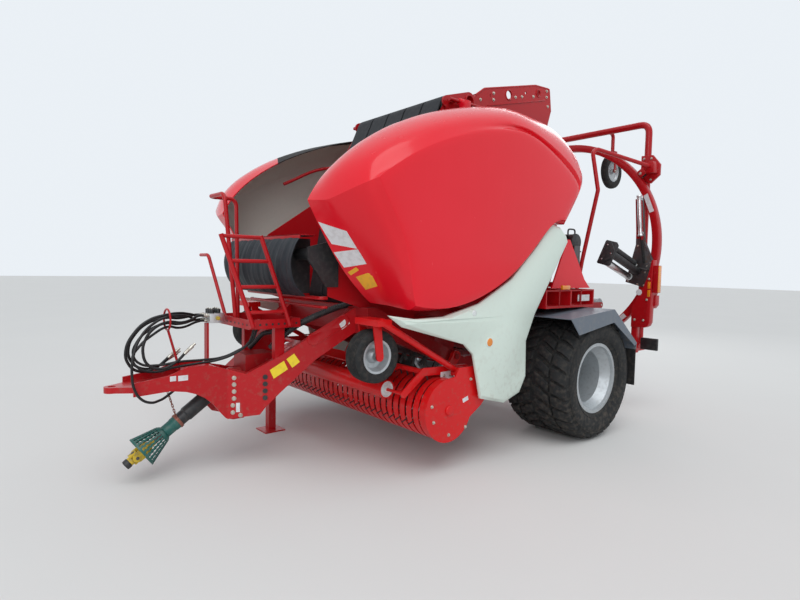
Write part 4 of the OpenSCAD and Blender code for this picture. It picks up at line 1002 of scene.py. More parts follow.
GUIDE_AT = 1.2873
GUIDE_ANGLES = (38, -24, 142, 204)
ear_outline = [(1.263, 1.838), (1.275, 1.83), (1.34, 1.832), (1.347, 1.842), (1.347, 1.898), (1.34, 1.908),
               (1.275, 1.91), (1.263, 1.902)]
ears = [plate("ear", ear_outline, 0.014, "X", x) for x in (-1.554, -1.46)]
bridge = box("bridge", (-1.552, 1.328, 1.834), (-1.448, 1.346, 1.906))
guide = soften(joined("guide_ears", ears + [bridge]), 0.002)
half_roll = [(0.004, 0.036), (0.02, 0.036), (0.029, 0.032), (0.03, 0.024)]
roll_profile = [(r, -a) for r, a in half_roll] + [(0.0285, 0.0)] + half_roll[::-1]
roll = smooth(spun("guide_roll", roll_profile, (RING_X, GUIDE_AT, RING_Z), axis="X", steps=28))
nuts = []
for x, way in ((-1.554, -0.001), (-1.446, 0.001)):
    nuts += [bar("nut", (x + start * way, GUIDE_AT, RING_Z), (x + end * way, GUIDE_AT, RING_Z), radius, sides)
             for start, end, radius, sides in ((0, 2, 0.016, 20), (2, 10, 0.012, 6))]
nuts = soften(joined("guide_nuts", nuts), 0.001, 1)
moves = [turned(angle) for angle in GUIDE_ANGLES]
finished(copies(guide, "guide_ears", moves), frame_red)
finished(copies(roll, "guide_rolls", moves), black_plastic)
finished(copies(nuts, "guide_nuts", moves), zinc)
print("guide rolls at", GUIDE_ANGLES)

# %% [markdown]
# The frame itself is bent pipe and folded plate. A pipe keeps straight lengths between
# its bends, so `bent` rounds only the corners. The columns are crescents whose inner
# edge clears the turning dispensers, and the posts behind the ring carry the portal.

# %% Posts, portal and columns
POST_X, POST_Y, PORTAL_Z, FOOT_Z, SWEEP = -1.6, 1.02, 3.24, 0.665, 1.251
portal = bent("portal", [(POST_X, y, z) for y, z in ((POST_Y, FOOT_Z), (POST_Y, PORTAL_Z), (-POST_Y, PORTAL_Z),
                                                     (-POST_Y, FOOT_Z))], 0.0375, 0.11, steps=9, sides=7)
crescent = [(1.032, 0.935), (1.19, 0.94), (1.224, 0.96), (1.24, 1.0), (1.248, 1.4), (1.256, 1.69)]
crescent += [(math.sqrt(SWEEP ** 2 - (RING_Z - z) ** 2), z) for z in (1.69, 1.6, 1.5, 1.4, 1.3, 1.22, 1.165)]
halves = [
    plate("column", crescent + [(1.032, 1.15)], 0.088, "X", -1.439),
    plate("lower", [(1.032, 0.645), (1.1, 0.645), (1.1, 0.94), (1.032, 0.94)], 0.06, "X", -1.425),
    box("foot", (-1.41, 0.727, 0.642), (-1.352, 1.034, 0.758)),
    box("heel", (-1.638, 0.982, 0.652), (-1.432, 1.068, 0.728)),
    plate("back_plate", [(0.968, 2.602), (1.085, 2.556), (1.186, 2.642), (1.188, 2.76), (1.1, 2.872),
                         (0.968, 2.878)], 0.03, "X", -1.58),
    plate("top_block", [(1.078, 2.66), (1.168, 2.658), (1.168, 2.745), (1.15, 2.786), (1.078, 2.786)],
          0.128, "X", -1.569),
    plate("low_block", [(1.152, 1.152), (1.23, 1.152), (1.258, 1.19), (1.258, 1.298), (1.152, 1.298)],
          0.088, "X", -1.529),
]
guard = bent("guard", [(-0.64, 0.765, 0.705), (-0.64, 0.765, 1.3), (-0.64, 0.827, 1.67), (-0.64, 0.978, 2.398),
                       (-0.64, 0.9, 2.795), (-0.7, 0.915, 2.835), (-1.455, 1.118, 2.732)], 0.0215, 0.06, sides=6)
halves.append(box("socket", (-0.66, 0.727, 0.662), (-0.62, 0.788, 0.72)))
side_frame = both_sides(joined("side_frame", [soften(piece, 0.004) for piece in halves] + [guard]))
dressed_frame = fitted("dressed_ring_frame", [portal, side_frame], frame_red, replaces="ring_frame")
heads = bolts([(-1.55, y, z) for y, z in ((1.0, 2.64), (1.085, 2.6), (1.155, 2.7), (1.0, 2.84),
                                           (1.085, 2.835), (1.13, 2.78))], (1, 0, 0), 0.01, 0.008)
heads += bolts([(-1.351, y, z) for y, z in ((1.07, 1.02), (1.17, 1.02), (1.2, 1.25), (1.215, 1.48))],
               (1, 0, 0), 0.011, 0.009)
pair("frame_bolts", heads, zinc)
print("frame faces:", len(dressed_frame.data.polygons))

# %% [markdown]
# A small pneumatic wheel hangs from the portal in a fork and steadies the bale. The
# tyre is a spun profile, the rim a dished disc with a hub.

# %% Bale wheel and its fork
BALE_WHEEL = FORK_X, FORK_Y, FORK_Z = -1.74, 0.5, 2.78
arm = bent("fork_arm", [(POST_X, FORK_Y, PORTAL_Z), (FORK_X - 0.01, FORK_Y, PORTAL_Z),
                        (FORK_X - 0.01, FORK_Y, FORK_Z + 0.235)], 0.0215, 0.06)
crown = box("crown", (FORK_X - 0.039, FORK_Y - 0.0495, FORK_Z + 0.216),
            (FORK_X + 0.019, FORK_Y + 0.0495, FORK_Z + 0.244))
blade = [(FORK_X + x, FORK_Z + z) for x, z in ((-0.02, -0.006), (-0.012, -0.018), (0.01, -0.018), (0.02, -0.004),
                                               (0.017, 0.235), (-0.036, 0.235))]
blades = [soften(plate("blade", blade, 0.01, "Y", FORK_Y + y), 0.002) for y in (-0.05, 0.04)]
fitted("bale_wheel_fork", [arm, soften(crown, 0.004)] + blades, frame_red)
fitted("bale_wheel_pin", [bolt("pin", (FORK_X, FORK_Y + way * 0.05, FORK_Z), (0, way, 0), 0.012, 0.009)
                          for way in (1, -1)], zinc)
tread = [(0.122, 0.03), (0.135, 0.035), (0.165, 0.036), (0.188, 0.033), (0.2, 0.026), (0.2045, 0.014),
         (0.2045, 0.01), (0.201, 0.009), (0.201, 0.006), (0.205, 0.005)]
profile = [(r, -y) for r, y in tread] + tread[::-1]
tyre = smooth(spun("bale_wheel_tyre", profile, BALE_WHEEL, steps=64), 40)
finished(tyre, tyre_rubber, "bale_wheel", "black_rubber", replaces="bale_wheel")
disc = [(0.012, -0.03), (0.03, -0.03), (0.032, -0.008), (0.1, -0.004), (0.112, -0.024), (0.128, -0.031),
        (0.129, -0.027), (0.118, -0.018), (0.118, 0.018), (0.129, 0.027), (0.128, 0.031), (0.112, 0.024),
        (0.1, 0.004), (0.032, 0.0), (0.03, 0.03), (0.012, 0.03)]
finished(smooth(spun("bale_wheel_rim", disc, BALE_WHEEL, steps=48), 30), rim_silver, "bale_wheel")
print("bale wheel done")

# %% [markdown]
# The ring carries two film dispensers, one opposite the other. Each has a clamp on the
# ring, a plate, an upright that holds the film roll, and three pre-stretch rollers
# that lean forward. Everything of one dispenser is modelled as if the clamp stood at
# the ring's left, then both are turned about the ring into their places.

# %% Rollers of a dispenser
LEAN, DISPENSER_ANGLES = -16, (-14, 166)
ROLLER_START, ROLLER_END = 0.064, 0.74


def leaned(piece):
    """Lean a piece forward about the ring's middle."""
    piece.data.transform(carried(Matrix.Rotation(math.radians(LEAN), 4, "Y"), RING_MIDDLE))
    return piece


def roller(name, y, z, radius, ridge=0.0, pitch=0.012):
    """A tube with end caps; with a ridge it is grooved along its whole length."""
    first, last = ROLLER_START, ROLLER_END
    cap = [(0.01, 0.0), (radius * 0.55, 0.0), (radius * 0.6, 0.004), (radius - 0.003, 0.004), (radius, 0.008)]
    line = [(r, first + a) for r, a in cap]
    place = first + 0.012
    while ridge and place < last - 0.016:
        line += [(radius, place), (radius, place + pitch * 0.5), (radius - ridge, place + pitch * 0.62),
                 (radius - ridge, place + pitch * 0.88)]
        place += pitch
    line += [(r, last - a) for r, a in reversed(cap)]
    return leaned(smooth(spun(name, line, local(0, y, z), axis="X", steps=28), 40))


def twice(name, piece, finish, slot=None):
    """One piece for each dispenser, a half turn of the ring apart."""
    return finished(copies(piece, name, [turned(angle) for angle in DISPENSER_ANGLES]), finish, "ring", slot)


LOW_ROLLER, HIGH_ROLLER, PRESS_ROLLER = (1.015, -0.15), (1.015, 0.01), (1.088, -0.07)
twice("silver_roller", roller("silver_roller", *LOW_ROLLER, 0.0375), bright_steel)
twice("black_roller", roller("black_roller", *HIGH_ROLLER, 0.0375, 0.0018), black_plastic)
press = twice("press_roller", roller("press_roller", *PRESS_ROLLER, 0.0395, 0.0015, 0.02), black_plastic)
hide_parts("dispensers")
print("faces of the press rollers:", len(press.data.polygons))

# %% [markdown]
# The plate is one piece of thick sheet with a folded lip on its outer side. The clamp is
# a block with a groove for the ring and four bolts; the upright ends in two cones on
# which the film roll turns.

# %% Plate, clamp and upright
base = soften(across("base", [(0.975, -0.203), (1.222, -0.203), (1.222, 0.112), (1.074, 0.297), (0.912, 0.757),
                              (0.838, 0.735), (0.972, 0.24)], 0.012, 0.044), 0.003)
lip = soften(across("lip", [(1.212, -0.2), (1.222, -0.2), (1.222, 0.108), (1.078, 0.29), (1.07, 0.284),
                            (1.212, 0.104)], 0.026, 0.056), 0.002)
clamp = [soften(box("clamp", local(x0, 1.157, -0.048), local(x1, y1, 0.048)), 0.003)
         for x0, x1, y1 in ((-0.02, 0.044, 1.172), (0.043, 0.055, 1.222))]
rib = soften(across("rib", [(0.985, -0.01), (1.2, -0.01), (1.2, 0.004), (0.985, 0.004)], 0.03, 0.055), 0.002)
arm = spun("arm", [(0.006, 0.0), (0.026, 0.0), (0.03, 0.012), (0.023, 0.03), (0.021, 0.1), (0.0225, 0.105),
                   (0.0225, 0.355), (0.021, 0.36), (0.023, 0.43), (0.03, 0.448), (0.026, 0.46), (0.006, 0.46)],
           local(0, 0, 0), axis="Z", steps=24)
low_end, high_end = at(*local(0.092, 1.018, 0.342)), at(*local(0.092, 0.871, 0.772))
arm.data.transform(carried(aimed(high_end - low_end), RING_MIDDLE, low_end))
posts = [smooth(arm, 35)]
for y, z in ((0.885, 0.735), (1.005, 0.375)):
    posts.append(smooth(bar("post", local(0.052, y, z), local(0.096, y, z), 0.0155, 20)))
    posts.append(soften(bar("collar", local(0.056, y, z), local(0.064, y, z), 0.024, 20), 0.002))
twice("dispenser_plate", joined("dispenser_plate", [base, lip, rib] + clamp), dark_steel, "steel")
twice("dispenser_arm", joined("dispenser_arm", posts), bright_steel)
heads = bolts([local(0.056, y, z) for y, z in ((1.195, -0.18), (1.0, -0.18), (1.195, 0.08), (1.0, 0.23),
                                               (1.09, 0.25), (1.12, -0.19))], (1, 0, 0), 0.009, 0.007)
heads += bolts([local(0.055, y, z) for y in (1.165, 1.21) for z in (-0.036, 0.036)], (1, 0, 0), 0.008, 0.007)
twice("dispenser_bolts", joined("dispenser_bolts", heads), zinc)
print("dispenser bolts:", len(heads))

# %% [markdown]
# At their front the rollers run in an end plate, with the gears that make them turn at
# different speeds under a rounded cover. At the back each roller has a bearing ring.

# %% Ends of the rollers
front = soften(across("front", [(0.973, -0.195), (0.983, -0.204), (1.11, -0.204), (1.128, -0.186), (1.129, 0.03),
                                (1.1, 0.059), (0.985, 0.059), (0.973, 0.048)], 0.012, 0.742), 0.002)
gear_case = soften(across("gear_case", [(0.985, -0.19), (1.04, -0.193), (1.118, -0.115), (1.12, -0.03),
                                        (1.05, 0.045), (0.99, 0.042)], 0.012, 0.752), 0.005, 3)
twice("roller_front", leaned(joined("roller_front", [front, gear_case])), black_plastic, "steel")
bearings, shafts = [], []
for (y, z), pin_start in ((LOW_ROLLER, 0.043), (HIGH_ROLLER, 0.043), (PRESS_ROLLER, 0.057)):
    if (y, z) != PRESS_ROLLER:
        bearings.append(spun("bearing", [(0.02, 0.05), (0.04, 0.05), (0.042, 0.053), (0.042, 0.061), (0.038, 0.063),
                                         (0.02, 0.063)], local(0, y, z), axis="X", steps=28))
        lug = box("lug", local(0.738, y - 0.024, z - 0.024), local(0.757, y + 0.024, z + 0.024))
        bearings.append(soften(lug, 0.003))
    shafts.append(bolt("shaft", local(0.757, y, z), (1, 0, 0), 0.01, 0.006))
    shafts.append(bar("pin", local(pin_start, y, z), local(0.066, y, z), 0.0148, 20))
twice("bearing_rings", leaned(smooth(joined("bearings", bearings), 30)), film_white)
twice("roller_shafts", leaned(joined("shafts", shafts)), bright_steel)
print("dispensers dressed")

# %% [markdown]
# Plates and stickers follow the sheet they are stuck to. A small grid is laid between
# four corners, each of its points drops onto the surface below, and Solidify gives it
# a little thickness. None of them carries any words.

# %% Stickers
STICKER_LIFT = 0.0015


def sticker(name, corners, target, finish, body="chassis", cuts=6):
    a, b, c, d = (at(*corner) for corner in corners)
    deselect()
    bpy.ops.mesh.primitive_grid_add(x_subdivisions=cuts, y_subdivisions=cuts)
    piece = bpy.context.object
    for k, vertex in enumerate(piece.data.vertices):
        s, t = (k % (cuts + 1)) / cuts, (k // (cuts + 1)) / cuts
        _, surface, normal, _ = target.closest_point_on_mesh(a.lerp(b, s).lerp(d.lerp(c, s), t))
        vertex.co = surface + normal * STICKER_LIFT
    settle(name)
    use(piece, "SOLIDIFY", thickness=0.0012, offset=0)
    return finished(outward(piece), finish, body)


def on_cover(station, share):
    """A place on the left cover's front fold: 0 is its inner edge, 1 its shoulder, 2 its rounding."""
    low, ring = int(station), int(share)
    net, first, second = cover_rings(), low % len(COVER_STATIONS), (low + 1) % len(COVER_STATIONS)
    near, far = (between(net[i][first], net[i][second], station - low) for i in (ring, ring + 1))
    return between(near, far, share - ring)


BEAM_OUT = Vector((0.4263, 0.9046, 0))
drawbar = node["drawbar"]
BEAM_LABELS = {
    "beam_label_1": ([(2.712, 0.281, 0.757), (2.617, 0.326, 0.826), (2.59, 0.339, 0.76), (2.685, 0.294, 0.69)],
                     sticker_lemon),
    "beam_label_2": ([(2.6, 0.334, 0.838), (2.548, 0.358, 0.88), (2.508, 0.378, 0.815), (2.56, 0.353, 0.77)],
                     sticker_lemon),
    "beam_label_3": ([(2.236, 0.505, 1.105), (2.18, 0.532, 1.16), (2.16, 0.541, 1.11), (2.216, 0.515, 1.06)],
                     sticker_white),
}
for name, (corners, finish) in BEAM_LABELS.items():
    sticker(name, corners, drawbar, finish)
NOSE_LABELS = ((3.404, 3.363, 0.765, 0.729), (3.349, 3.28, 0.763, 0.725), (2.923, 2.892, 0.515, 0.445))
for k, (x0, x1, z0, z1) in enumerate(NOSE_LABELS):
    corners = [(x, 0.152, z) for x, z in ((x0, z1), (x1, z1), (x1, z0), (x0, z0))]
    sticker(f"nose_label_{k}", corners, drawbar, sticker_white)
COVER_LABELS = {
    "cover_plate_1": (((21.98, 0.04), (21.85, 0.98), (21.22, 0.96), (21.32, 0.14)), sticker_white),
    "cover_plate_2": (((21.05, 0.05), (21.2, 0.97), (20.52, 0.95), (20.46, 0.1)), sticker_white),
    "cover_plate_3": (((20.26, 0.12), (20.42, 0.52), (20.28, 0.56), (20.12, 0.16)), sticker_yellow),
    "cover_plate_4": (((20.02, 0.3), (20.1, 0.9), (19.62, 0.92), (19.55, 0.34)), sticker_yellow),
}
for name, (corners, finish) in COVER_LABELS.items():
    sticker(name, [on_cover(*corner) for corner in corners], cover, finish, "cover_left", cuts=10)
sticker("wall_badge", [(2.42, 0.64, 1.76), (2.325, 0.64, 1.8), (2.318, 0.64, 1.772), (2.412, 0.64, 1.732)],
        node["front_walls"], sticker_white)
print("blank plates:", len(BEAM_LABELS) + len(NOSE_LABELS) + len(COVER_LABELS) + 1)

# %% [markdown]
# The arch of the drawbar is bolted to the beams. A column of bolts runs down its
# overlap, and behind it a column of large holes lets the hitch be set to other
# heights. The holes are not cut: each is a thin red ring round a black disc, and
# the black disc is painted shade, the dark inside of the hole. A long pressed pad
# stiffens the face of each beam.

# %% Bolts, holes and pads of the drawbar
NOSE_X, NOSE_Y, BEAM_SLOPE = 2.99, 0.15, 0.4713
NOSE_BOLTS = ((2.947, 0.705), (2.947, 0.655), (2.947, 0.602), (2.947, 0.549), (2.955, 0.497), (2.955, 0.443),
              (2.905, 0.42))
places = [(x, NOSE_Y + (NOSE_X - x) * BEAM_SLOPE, z) for x, z in NOSE_BOLTS]
pair("nose_bolts", bolts(places, BEAM_OUT, 0.0125, 0.009), zinc)


def discs(name, low, high, radius, finish, slot):
    """Thin discs on the beam's face, one for each hole of the hitch."""
    places = [Vector((2.742, 0.2669, z)) for z in (0.705, 0.652, 0.599, 0.546)]
    pair(name, [bar(name, p + BEAM_OUT * low, p + BEAM_OUT * high, radius, 28) for p in places], finish, slot=slot)


discs("hole_rims", 0.0002, 0.0022, 0.023, deep_red, "red_paint")
# Painted shade: a black disc stands in each uncut hole for the dark inside of the hole.
discs("hole_painted_shade", 0.0022, 0.003, 0.0185, black_plastic, "steel")
PAD_START, PAD_END, PAD_RADIUS = Vector((2.42, 0.4187, 0.985)), Vector((2.205, 0.52, 1.13)), 0.048
rise = (PAD_END - PAD_START).normalized()
aside = rise.cross(BEAM_OUT).normalized()
corners = []
for k in range(24):
    angle = math.tau * k / 24
    centre = PAD_START if 6 <= k < 18 else PAD_END
    corners.append(centre + (rise * math.cos(angle) + aside * math.sin(angle)) * PAD_RADIUS)
middle = (PAD_START + PAD_END) / 2
# Each ring of the pad: its size beside the outline, and how far it stands out.
PAD_RINGS = ((1.0, -0.002), (0.965, 0.005), (0.86, 0.005), (0.8, 0.001), (0.05, 0.001))
rings = [[tuple(middle + (c - middle) * size + BEAM_OUT * out) for c in corners] for size, out in PAD_RINGS]
pad = smooth(skin("beam_pad", rings, closed=True), 30)
finished(both_sides(pad), frame_red)
print("drawbar fittings done")

# %% [markdown]
# The guard of the drive shaft is a black tube, a collar that the chain holds, a green
# tube and a cone of plastic lattice. The lattice is a cone of quads from which every
# second quad is taken out, with a rim left whole at both ends.

# %% Guard of the drive shaft
PTO_START, PTO_AIM = Vector((2.9, 0, 0.69)), Vector((0.8117, 0, -0.5841))


def upright(name, profile, steps=40):
    """A turned piece that stands on the shaft's start, with its profile from the inside out."""
    return spun(name, profile, PTO_START, axis="Z", steps=steps)


def on_shaft(piece):
    """Carry a piece that was made upright at the shaft's start onto the shaft's line."""
    piece.data.transform(carried(aimed(PTO_AIM), at(*PTO_START)))
    return piece


black_tube = upright("guard_tube", [(0.0405, 0.056), (0.06, 0.056), (0.062, 0.064), (0.062, 0.085), (0.055, 0.092),
                                    (0.055, 0.425), (0.049, 0.434), (0.049, 0.492), (0.0405, 0.492)])
finished(on_shaft(smooth(black_tube, 30)), black_plastic)
green_tube = upright("guard_green", [(0.0405, 0.5), (0.05, 0.5), (0.05, 0.535), (0.046, 0.545), (0.046, 0.61),
                                     (0.058, 0.622), (0.06, 0.64), (0.0405, 0.64)])
collar = upright("guard_collar", [(0.0495, 0.486), (0.054, 0.486), (0.056, 0.49), (0.056, 0.504), (0.054, 0.508),
                                  (0.0505, 0.508)])
finished(on_shaft(smooth(collar, 30)), rusty_chain)
ROWS, AROUND = 13, 40
lattice = []
for row in range(ROWS + 1):
    radius, height = 0.061 + 0.056 * row / ROWS, 0.628 + 0.183 * row / ROWS
    angles = [math.tau * (k + 0.5 * (row % 2)) / AROUND for k in range(AROUND)]
    lattice.append([tuple(PTO_START + Vector((radius * math.cos(a), radius * math.sin(a), height))) for a in angles])
cone = skin("guard_cone", lattice, closed=True)
mode("EDIT")
bpy.ops.mesh.select_mode(type="FACE")
bpy.ops.mesh.select_all(action="DESELECT")
mode("OBJECT")
for face in cone.data.polygons:
    row, place = divmod(face.index, AROUND)
    face.select = 1 <= row <= ROWS - 2 and place % 2 == 0
mode("EDIT")
bpy.ops.mesh.delete(type="FACE")
mode("OBJECT")
use(cone, "SOLIDIFY", thickness=0.005, offset=0)
rim = upright("cone_rim", [(0.112, 0.8), (0.1185, 0.8), (0.1195, 0.806), (0.1185, 0.8125), (0.112, 0.8125)], 48)
guard = on_shaft(smooth(joined("guard_plastic", [green_tube, cone, rim]), 30))
finished(guard, guard_green, replaces="pto_guard")
print("lattice faces:", len(guard.data.polygons))

# %% [markdown]
# Inside the cone sits the universal joint: a yoke on the shaft, a cross with four
# bearing caps and a second yoke, which ends in the quick coupling.

# %% Universal joint
JOINT_AT = 0.852
round_end = [(0.032 * math.cos(a), JOINT_AT + 0.03 * math.sin(a)) for a in (0.2, 0.6, 1.0, 1.4, 1.75, 2.15, 2.55, 2.95)]
near_ear = [(-0.036, 0.8), (0.036, 0.8), (0.036, 0.85), *round_end, (-0.036, 0.85)]
far_ear = [(-0.024, 0.838), (-0.014, 0.83), (0.014, 0.83), (0.024, 0.838), (0.024, 0.888), (-0.024, 0.888)]
yokes = [upright("hub", [(0.006, 0.7), (0.024, 0.7), (0.026, 0.735), (0.036, 0.748), (0.041, 0.76), (0.041, 0.806),
                         (0.036, 0.812), (0.006, 0.812)], 32)]
near_ear = [(y, PTO_START.z + z) for y, z in near_ear]
far_ear = [(PTO_START.x + x, PTO_START.z + z) for x, z in far_ear]
yokes += [plate("ear", near_ear, 0.018, "X", PTO_START.x + x) for x in (-0.045, 0.027)]
yokes += [plate("ear", far_ear, 0.016, "Y", y) for y in (-0.038, 0.022)]
yokes.append(upright("far_hub", [(0.018, 0.88), (0.029, 0.88), (0.03, 0.884), (0.03, 0.906), (0.018, 0.906)], 32))
joint = on_shaft(soften(joined("joint_yokes", yokes), 0.002))
finished(joint, joint_yellow, "pto_shaft", replaces="pto_yoke")
cross = [bar("cross", PTO_START + Vector((-x, -y, JOINT_AT)), PTO_START + Vector((x, y, JOINT_AT)), 0.0115, 20)
         for x, y in ((0.049, 0), (0, 0.042))]
cross.append(upright("shaft", [(0.006, 0.012), (0.0235, 0.012), (0.0235, 0.72), (0.006, 0.72)], 24))
finished(on_shaft(soften(joined("joint_cross", cross), 0.001)), dark_steel, "pto_shaft", "steel")
coupling = upright("coupling", [(0.018, 0.904), (0.031, 0.904), (0.034, 0.909), (0.034, 0.93), (0.031, 0.94),
                                (0.018, 0.942)], 32)
finished(on_shaft(smooth(coupling, 30)), black_plastic, "pto_shaft")
print("pieces of the joint:", len(yokes) + len(cross) + 1)

# %% [markdown]
# A chain keeps the guard from turning. One link is a bent ring of wire; the next one is
# turned a quarter, and so on down the line.

# %% Chain
top, bottom = Vector((3.405, 0.05, 0.69)), Vector((3.33, 0.04, 0.445))
PITCH, WIRE, HALF_LENGTH = 0.021, 0.0026, 0.008
link_points = []
for angle in (math.tau * k / 16 for k in range(17)):
    half = HALF_LENGTH if math.cos(angle) > 0 else -HALF_LENGTH
    link_points.append((top.x + 0.006 * math.sin(angle), top.y, top.z + half + 0.0065 * math.cos(angle)))
link = smooth(tube("link", link_points, WIRE, sides=2, kind="POLY"), 60)
run = (bottom - top).normalized()
moves = []
for k in range(int((bottom - top).length / PITCH) + 1):
    twist = Matrix.Rotation(math.radians(90 * (k % 2) + 12 * k), 4, "Z")
    moves.append(carried(aimed(run) @ twist, at(*top), at(*(top + run * PITCH * k))))
finished(copies(link, "guard_chain", moves), rusty_chain)
print("chain links:", len(moves))

# %% [markdown]
# Three more hoses come from the valve block. They pass through the same hook and go
# back along the drawbar under the deck; the last one hangs in a loop beside the tongue.

# %% Hoses that go back into the machine
RETURNING_RADIUS = 0.009
RETURNING = {
    "hose_4": [(3.05, -0.187, 1.125), (3.12, -0.185, 1.118), (3.2, -0.14, 1.105), (3.29, -0.075, 1.106),
               (3.375, -0.042, 1.118), (3.48, -0.06, 1.075), (3.56, -0.075, 0.99), (3.585, -0.075, 0.9),
               (3.54, -0.06, 0.835), (3.44, -0.02, 0.822), (3.3, 0.03, 0.842), (3.14, 0.045, 0.842),
               (3.0, 0.06, 0.85), (2.9, 0.09, 0.89), (2.8, 0.15, 0.97), (2.76, 0.175, 1.079)],
    "hose_5": [(3.05, -0.148, 1.12), (3.12, -0.148, 1.105), (3.2, -0.11, 1.083), (3.29, -0.04, 1.082),
               (3.375, 0.0, 1.098), (3.48, 0.01, 1.045), (3.57, 0.02, 0.97), (3.615, 0.03, 0.89),
               (3.575, 0.045, 0.822), (3.48, 0.055, 0.79), (3.35, 0.065, 0.81), (3.2, 0.08, 0.825),
               (3.04, 0.095, 0.84), (2.93, 0.125, 0.88), (2.84, 0.18, 0.96), (2.805, 0.215, 1.079)],
    "hose_6": [(3.05, -0.1, 1.12), (3.12, -0.098, 1.122), (3.2, -0.05, 1.158), (3.29, 0.015, 1.176),
               (3.375, 0.044, 1.176), (3.5, 0.09, 1.13), (3.6, 0.15, 1.04), (3.648, 0.185, 0.93),
               (3.658, 0.19, 0.8), (3.64, 0.19, 0.7), (3.598, 0.188, 0.636), (3.54, 0.18, 0.606),
               (3.48, 0.15, 0.604), (3.41, 0.11, 0.622), (3.33, 0.088, 0.68), (3.285, 0.078, 0.767)],
}
for name, route in RETURNING.items():
    laid(hose("free_" + name, route, RETURNING_RADIUS), route, RETURNING_RADIUS, "object")
print("hoses laid:", len(HOSES) + len(RETURNING))

# %% [markdown]
# The valve block is a row of spools side by side, with coils on top, plugs at the end
# and a hexagon fitting for every hose.

# %% Valve block
spools = [soften(box("spool", (2.934, y - 0.0205, 1.102), (3.05, y + 0.0205, 1.176)), 0.003)
          for y in (-0.187, -0.144, -0.1, -0.063)]
fittings, coils = [], []
for y in (-0.17, -0.125, -0.08):
    fittings.append(bar("fitting", (3.048, y, 1.16), (3.066, y, 1.16), 0.0165, 6))
    fittings.append(bar("nut", (3.064, y, 1.16), (3.084, y, 1.16), 0.0135, 20))
for y in (-0.187, -0.148, -0.1):
    fittings.append(bar("fitting", (3.048, y, 1.12), (3.072, y, 1.12), 0.0125, 6))
for x, y in ((2.962, -0.187), (2.962, -0.144), (2.962, -0.1), (3.02, -0.165), (3.02, -0.122), (3.02, -0.08)):
    coils.append(soften(bar("coil", (x, y, 1.176), (x, y, 1.206), 0.0175, 24), 0.002))
    fittings.append(bar("cap", (x, y, 1.206), (x, y, 1.2145), 0.008, 6))
fitted("valve_spools", spools, bright_steel, replaces="valve_block")
finished(soften(joined("valve_fittings", fittings), 0.001, 1), zinc)
fitted("valve_coils", coils, black_plastic)
finished(soften(bar("valve_knob", (2.99, -0.042, 1.14), (2.99, -0.022, 1.14), 0.016, 12), 0.003), joint_yellow)
print("valve block dressed with", len(coils), "coils")

# %% [markdown]
# Corrugated pipe is round pipe whose radius goes up and down. The line gets a point
# every few millimetres, is averaged until its corners are round, and is drawn in at
# every fourth point.

# %% Conduits along the beam and under the deck
RIB_PITCH, RIB_RADII, ROUNDINGS = 0.008, (1.0, 0.97, 0.82, 0.97), 60


def ribbed(name, corners, radius):
    corners = [Vector(corner) for corner in corners]
    line = []
    for first, second in zip(corners, corners[1:]):
        pieces = max(2, int((second - first).length / (RIB_PITCH / 2)))
        line += [first.lerp(second, k / pieces) for k in range(pieces)]
    for _ in range(ROUNDINGS):
        line = [line[0]] + [(a + b * 2 + c) / 4 for a, b, c in zip(line, line[1:], line[2:])] + [line[-1]]
    piece = hose(name, line, radius, sides=5, kind="POLY")
    for k, knot in enumerate(piece.data.splines[0].points):
        knot.radius = RIB_RADII[k % len(RIB_RADII)]
    chosen(piece)
    bpy.ops.object.convert(target="MESH")
    return finished(bpy.context.object, black_plastic)


ribbed("beam_conduit", [(2.64, 0.15, 0.905), (2.59, 0.205, 0.985), (2.48, 0.262, 1.085), (2.34, 0.33, 1.16),
                        (2.2, 0.4, 1.225), (2.08, 0.46, 1.262)], 0.027)
ribbed("deck_conduit", [(2.7, -0.1, 0.88), (2.64, 0.02, 1.01), (2.56, 0.13, 1.03), (2.44, 0.16, 1.06),
                        (2.3, 0.18, 1.12)], 0.02)
print("conduits laid")

# %% [markdown]
# Small work on the deck and in front of the chamber: a row of holes in the deck's
# flange, each a black disc of painted shade rather than a cut, raised grips on its
# tread, and the rails below the curtain that keep hands off the crop.

# %% Deck flange, grips and front rails
# Painted shade: the holes are not cut, each is a thin black disc for the dark inside of the hole.
holes = [bar("hole", (2.9, y, 1.112), (2.9012, y, 1.112), 0.009, 16) for y in (-0.29 + 0.0725 * k for k in range(9))]
holes += [bar("hole", (x, 0.33, 1.112), (x, 0.3312, 1.112), 0.009, 16) for x in (2.515 + 0.05 * k for k in range(8))]
fitted("deck_hole_shade", holes, black_plastic, slot="steel")
GRIP = [(0.0222, 1.0862), (0.023, 1.0905), (0.0255, 1.0915), (0.029, 1.0862)]
grips = [spun("grip", GRIP, (2.54 + 0.075 * i, -0.265 + 0.105 * k, 0), axis="Z", steps=14)
         for i in range(5) for k in range(6)]
finished(smooth(joined("deck_grips", grips), 40), frame_red)
rails = [bent("rail", [(2.425, -0.62, z), (x, -0.62, z), (x, 0.62, z), (2.425, 0.62, z)], radius, bend)
         for x, z, radius, bend in ((2.48, 1.318, 0.014, 0.03), (2.455, 1.25, 0.011, 0.02))]
fitted("front_rails", rails, frame_red)
print("holes in the deck:", len(holes), "and grips:", len(grips))

# %% [markdown]
# At the back, small things make the wrapper what it is: a red channel and its hoses
# beside the upright of each dispenser, reflectors on the columns and bright strips on
# the ring.

# %% On the ring
CHANNEL_X = 0.058
channel = [across("web", [(0.842, 0.73), (0.9, 0.748), (1.04, 0.33), (0.975, 0.305)], 0.004, CHANNEL_X)]
for y in (0.0, 0.056):
    flange = [(0.842 + y, 0.73), (0.848 + y, 0.732), (0.984 + y, 0.307), (0.978 + y, 0.305)]
    channel.append(across("flange", flange, 0.034, CHANNEL_X))
twice("film_channel", soften(joined("film_channel", channel), 0.001, 1), frame_red)
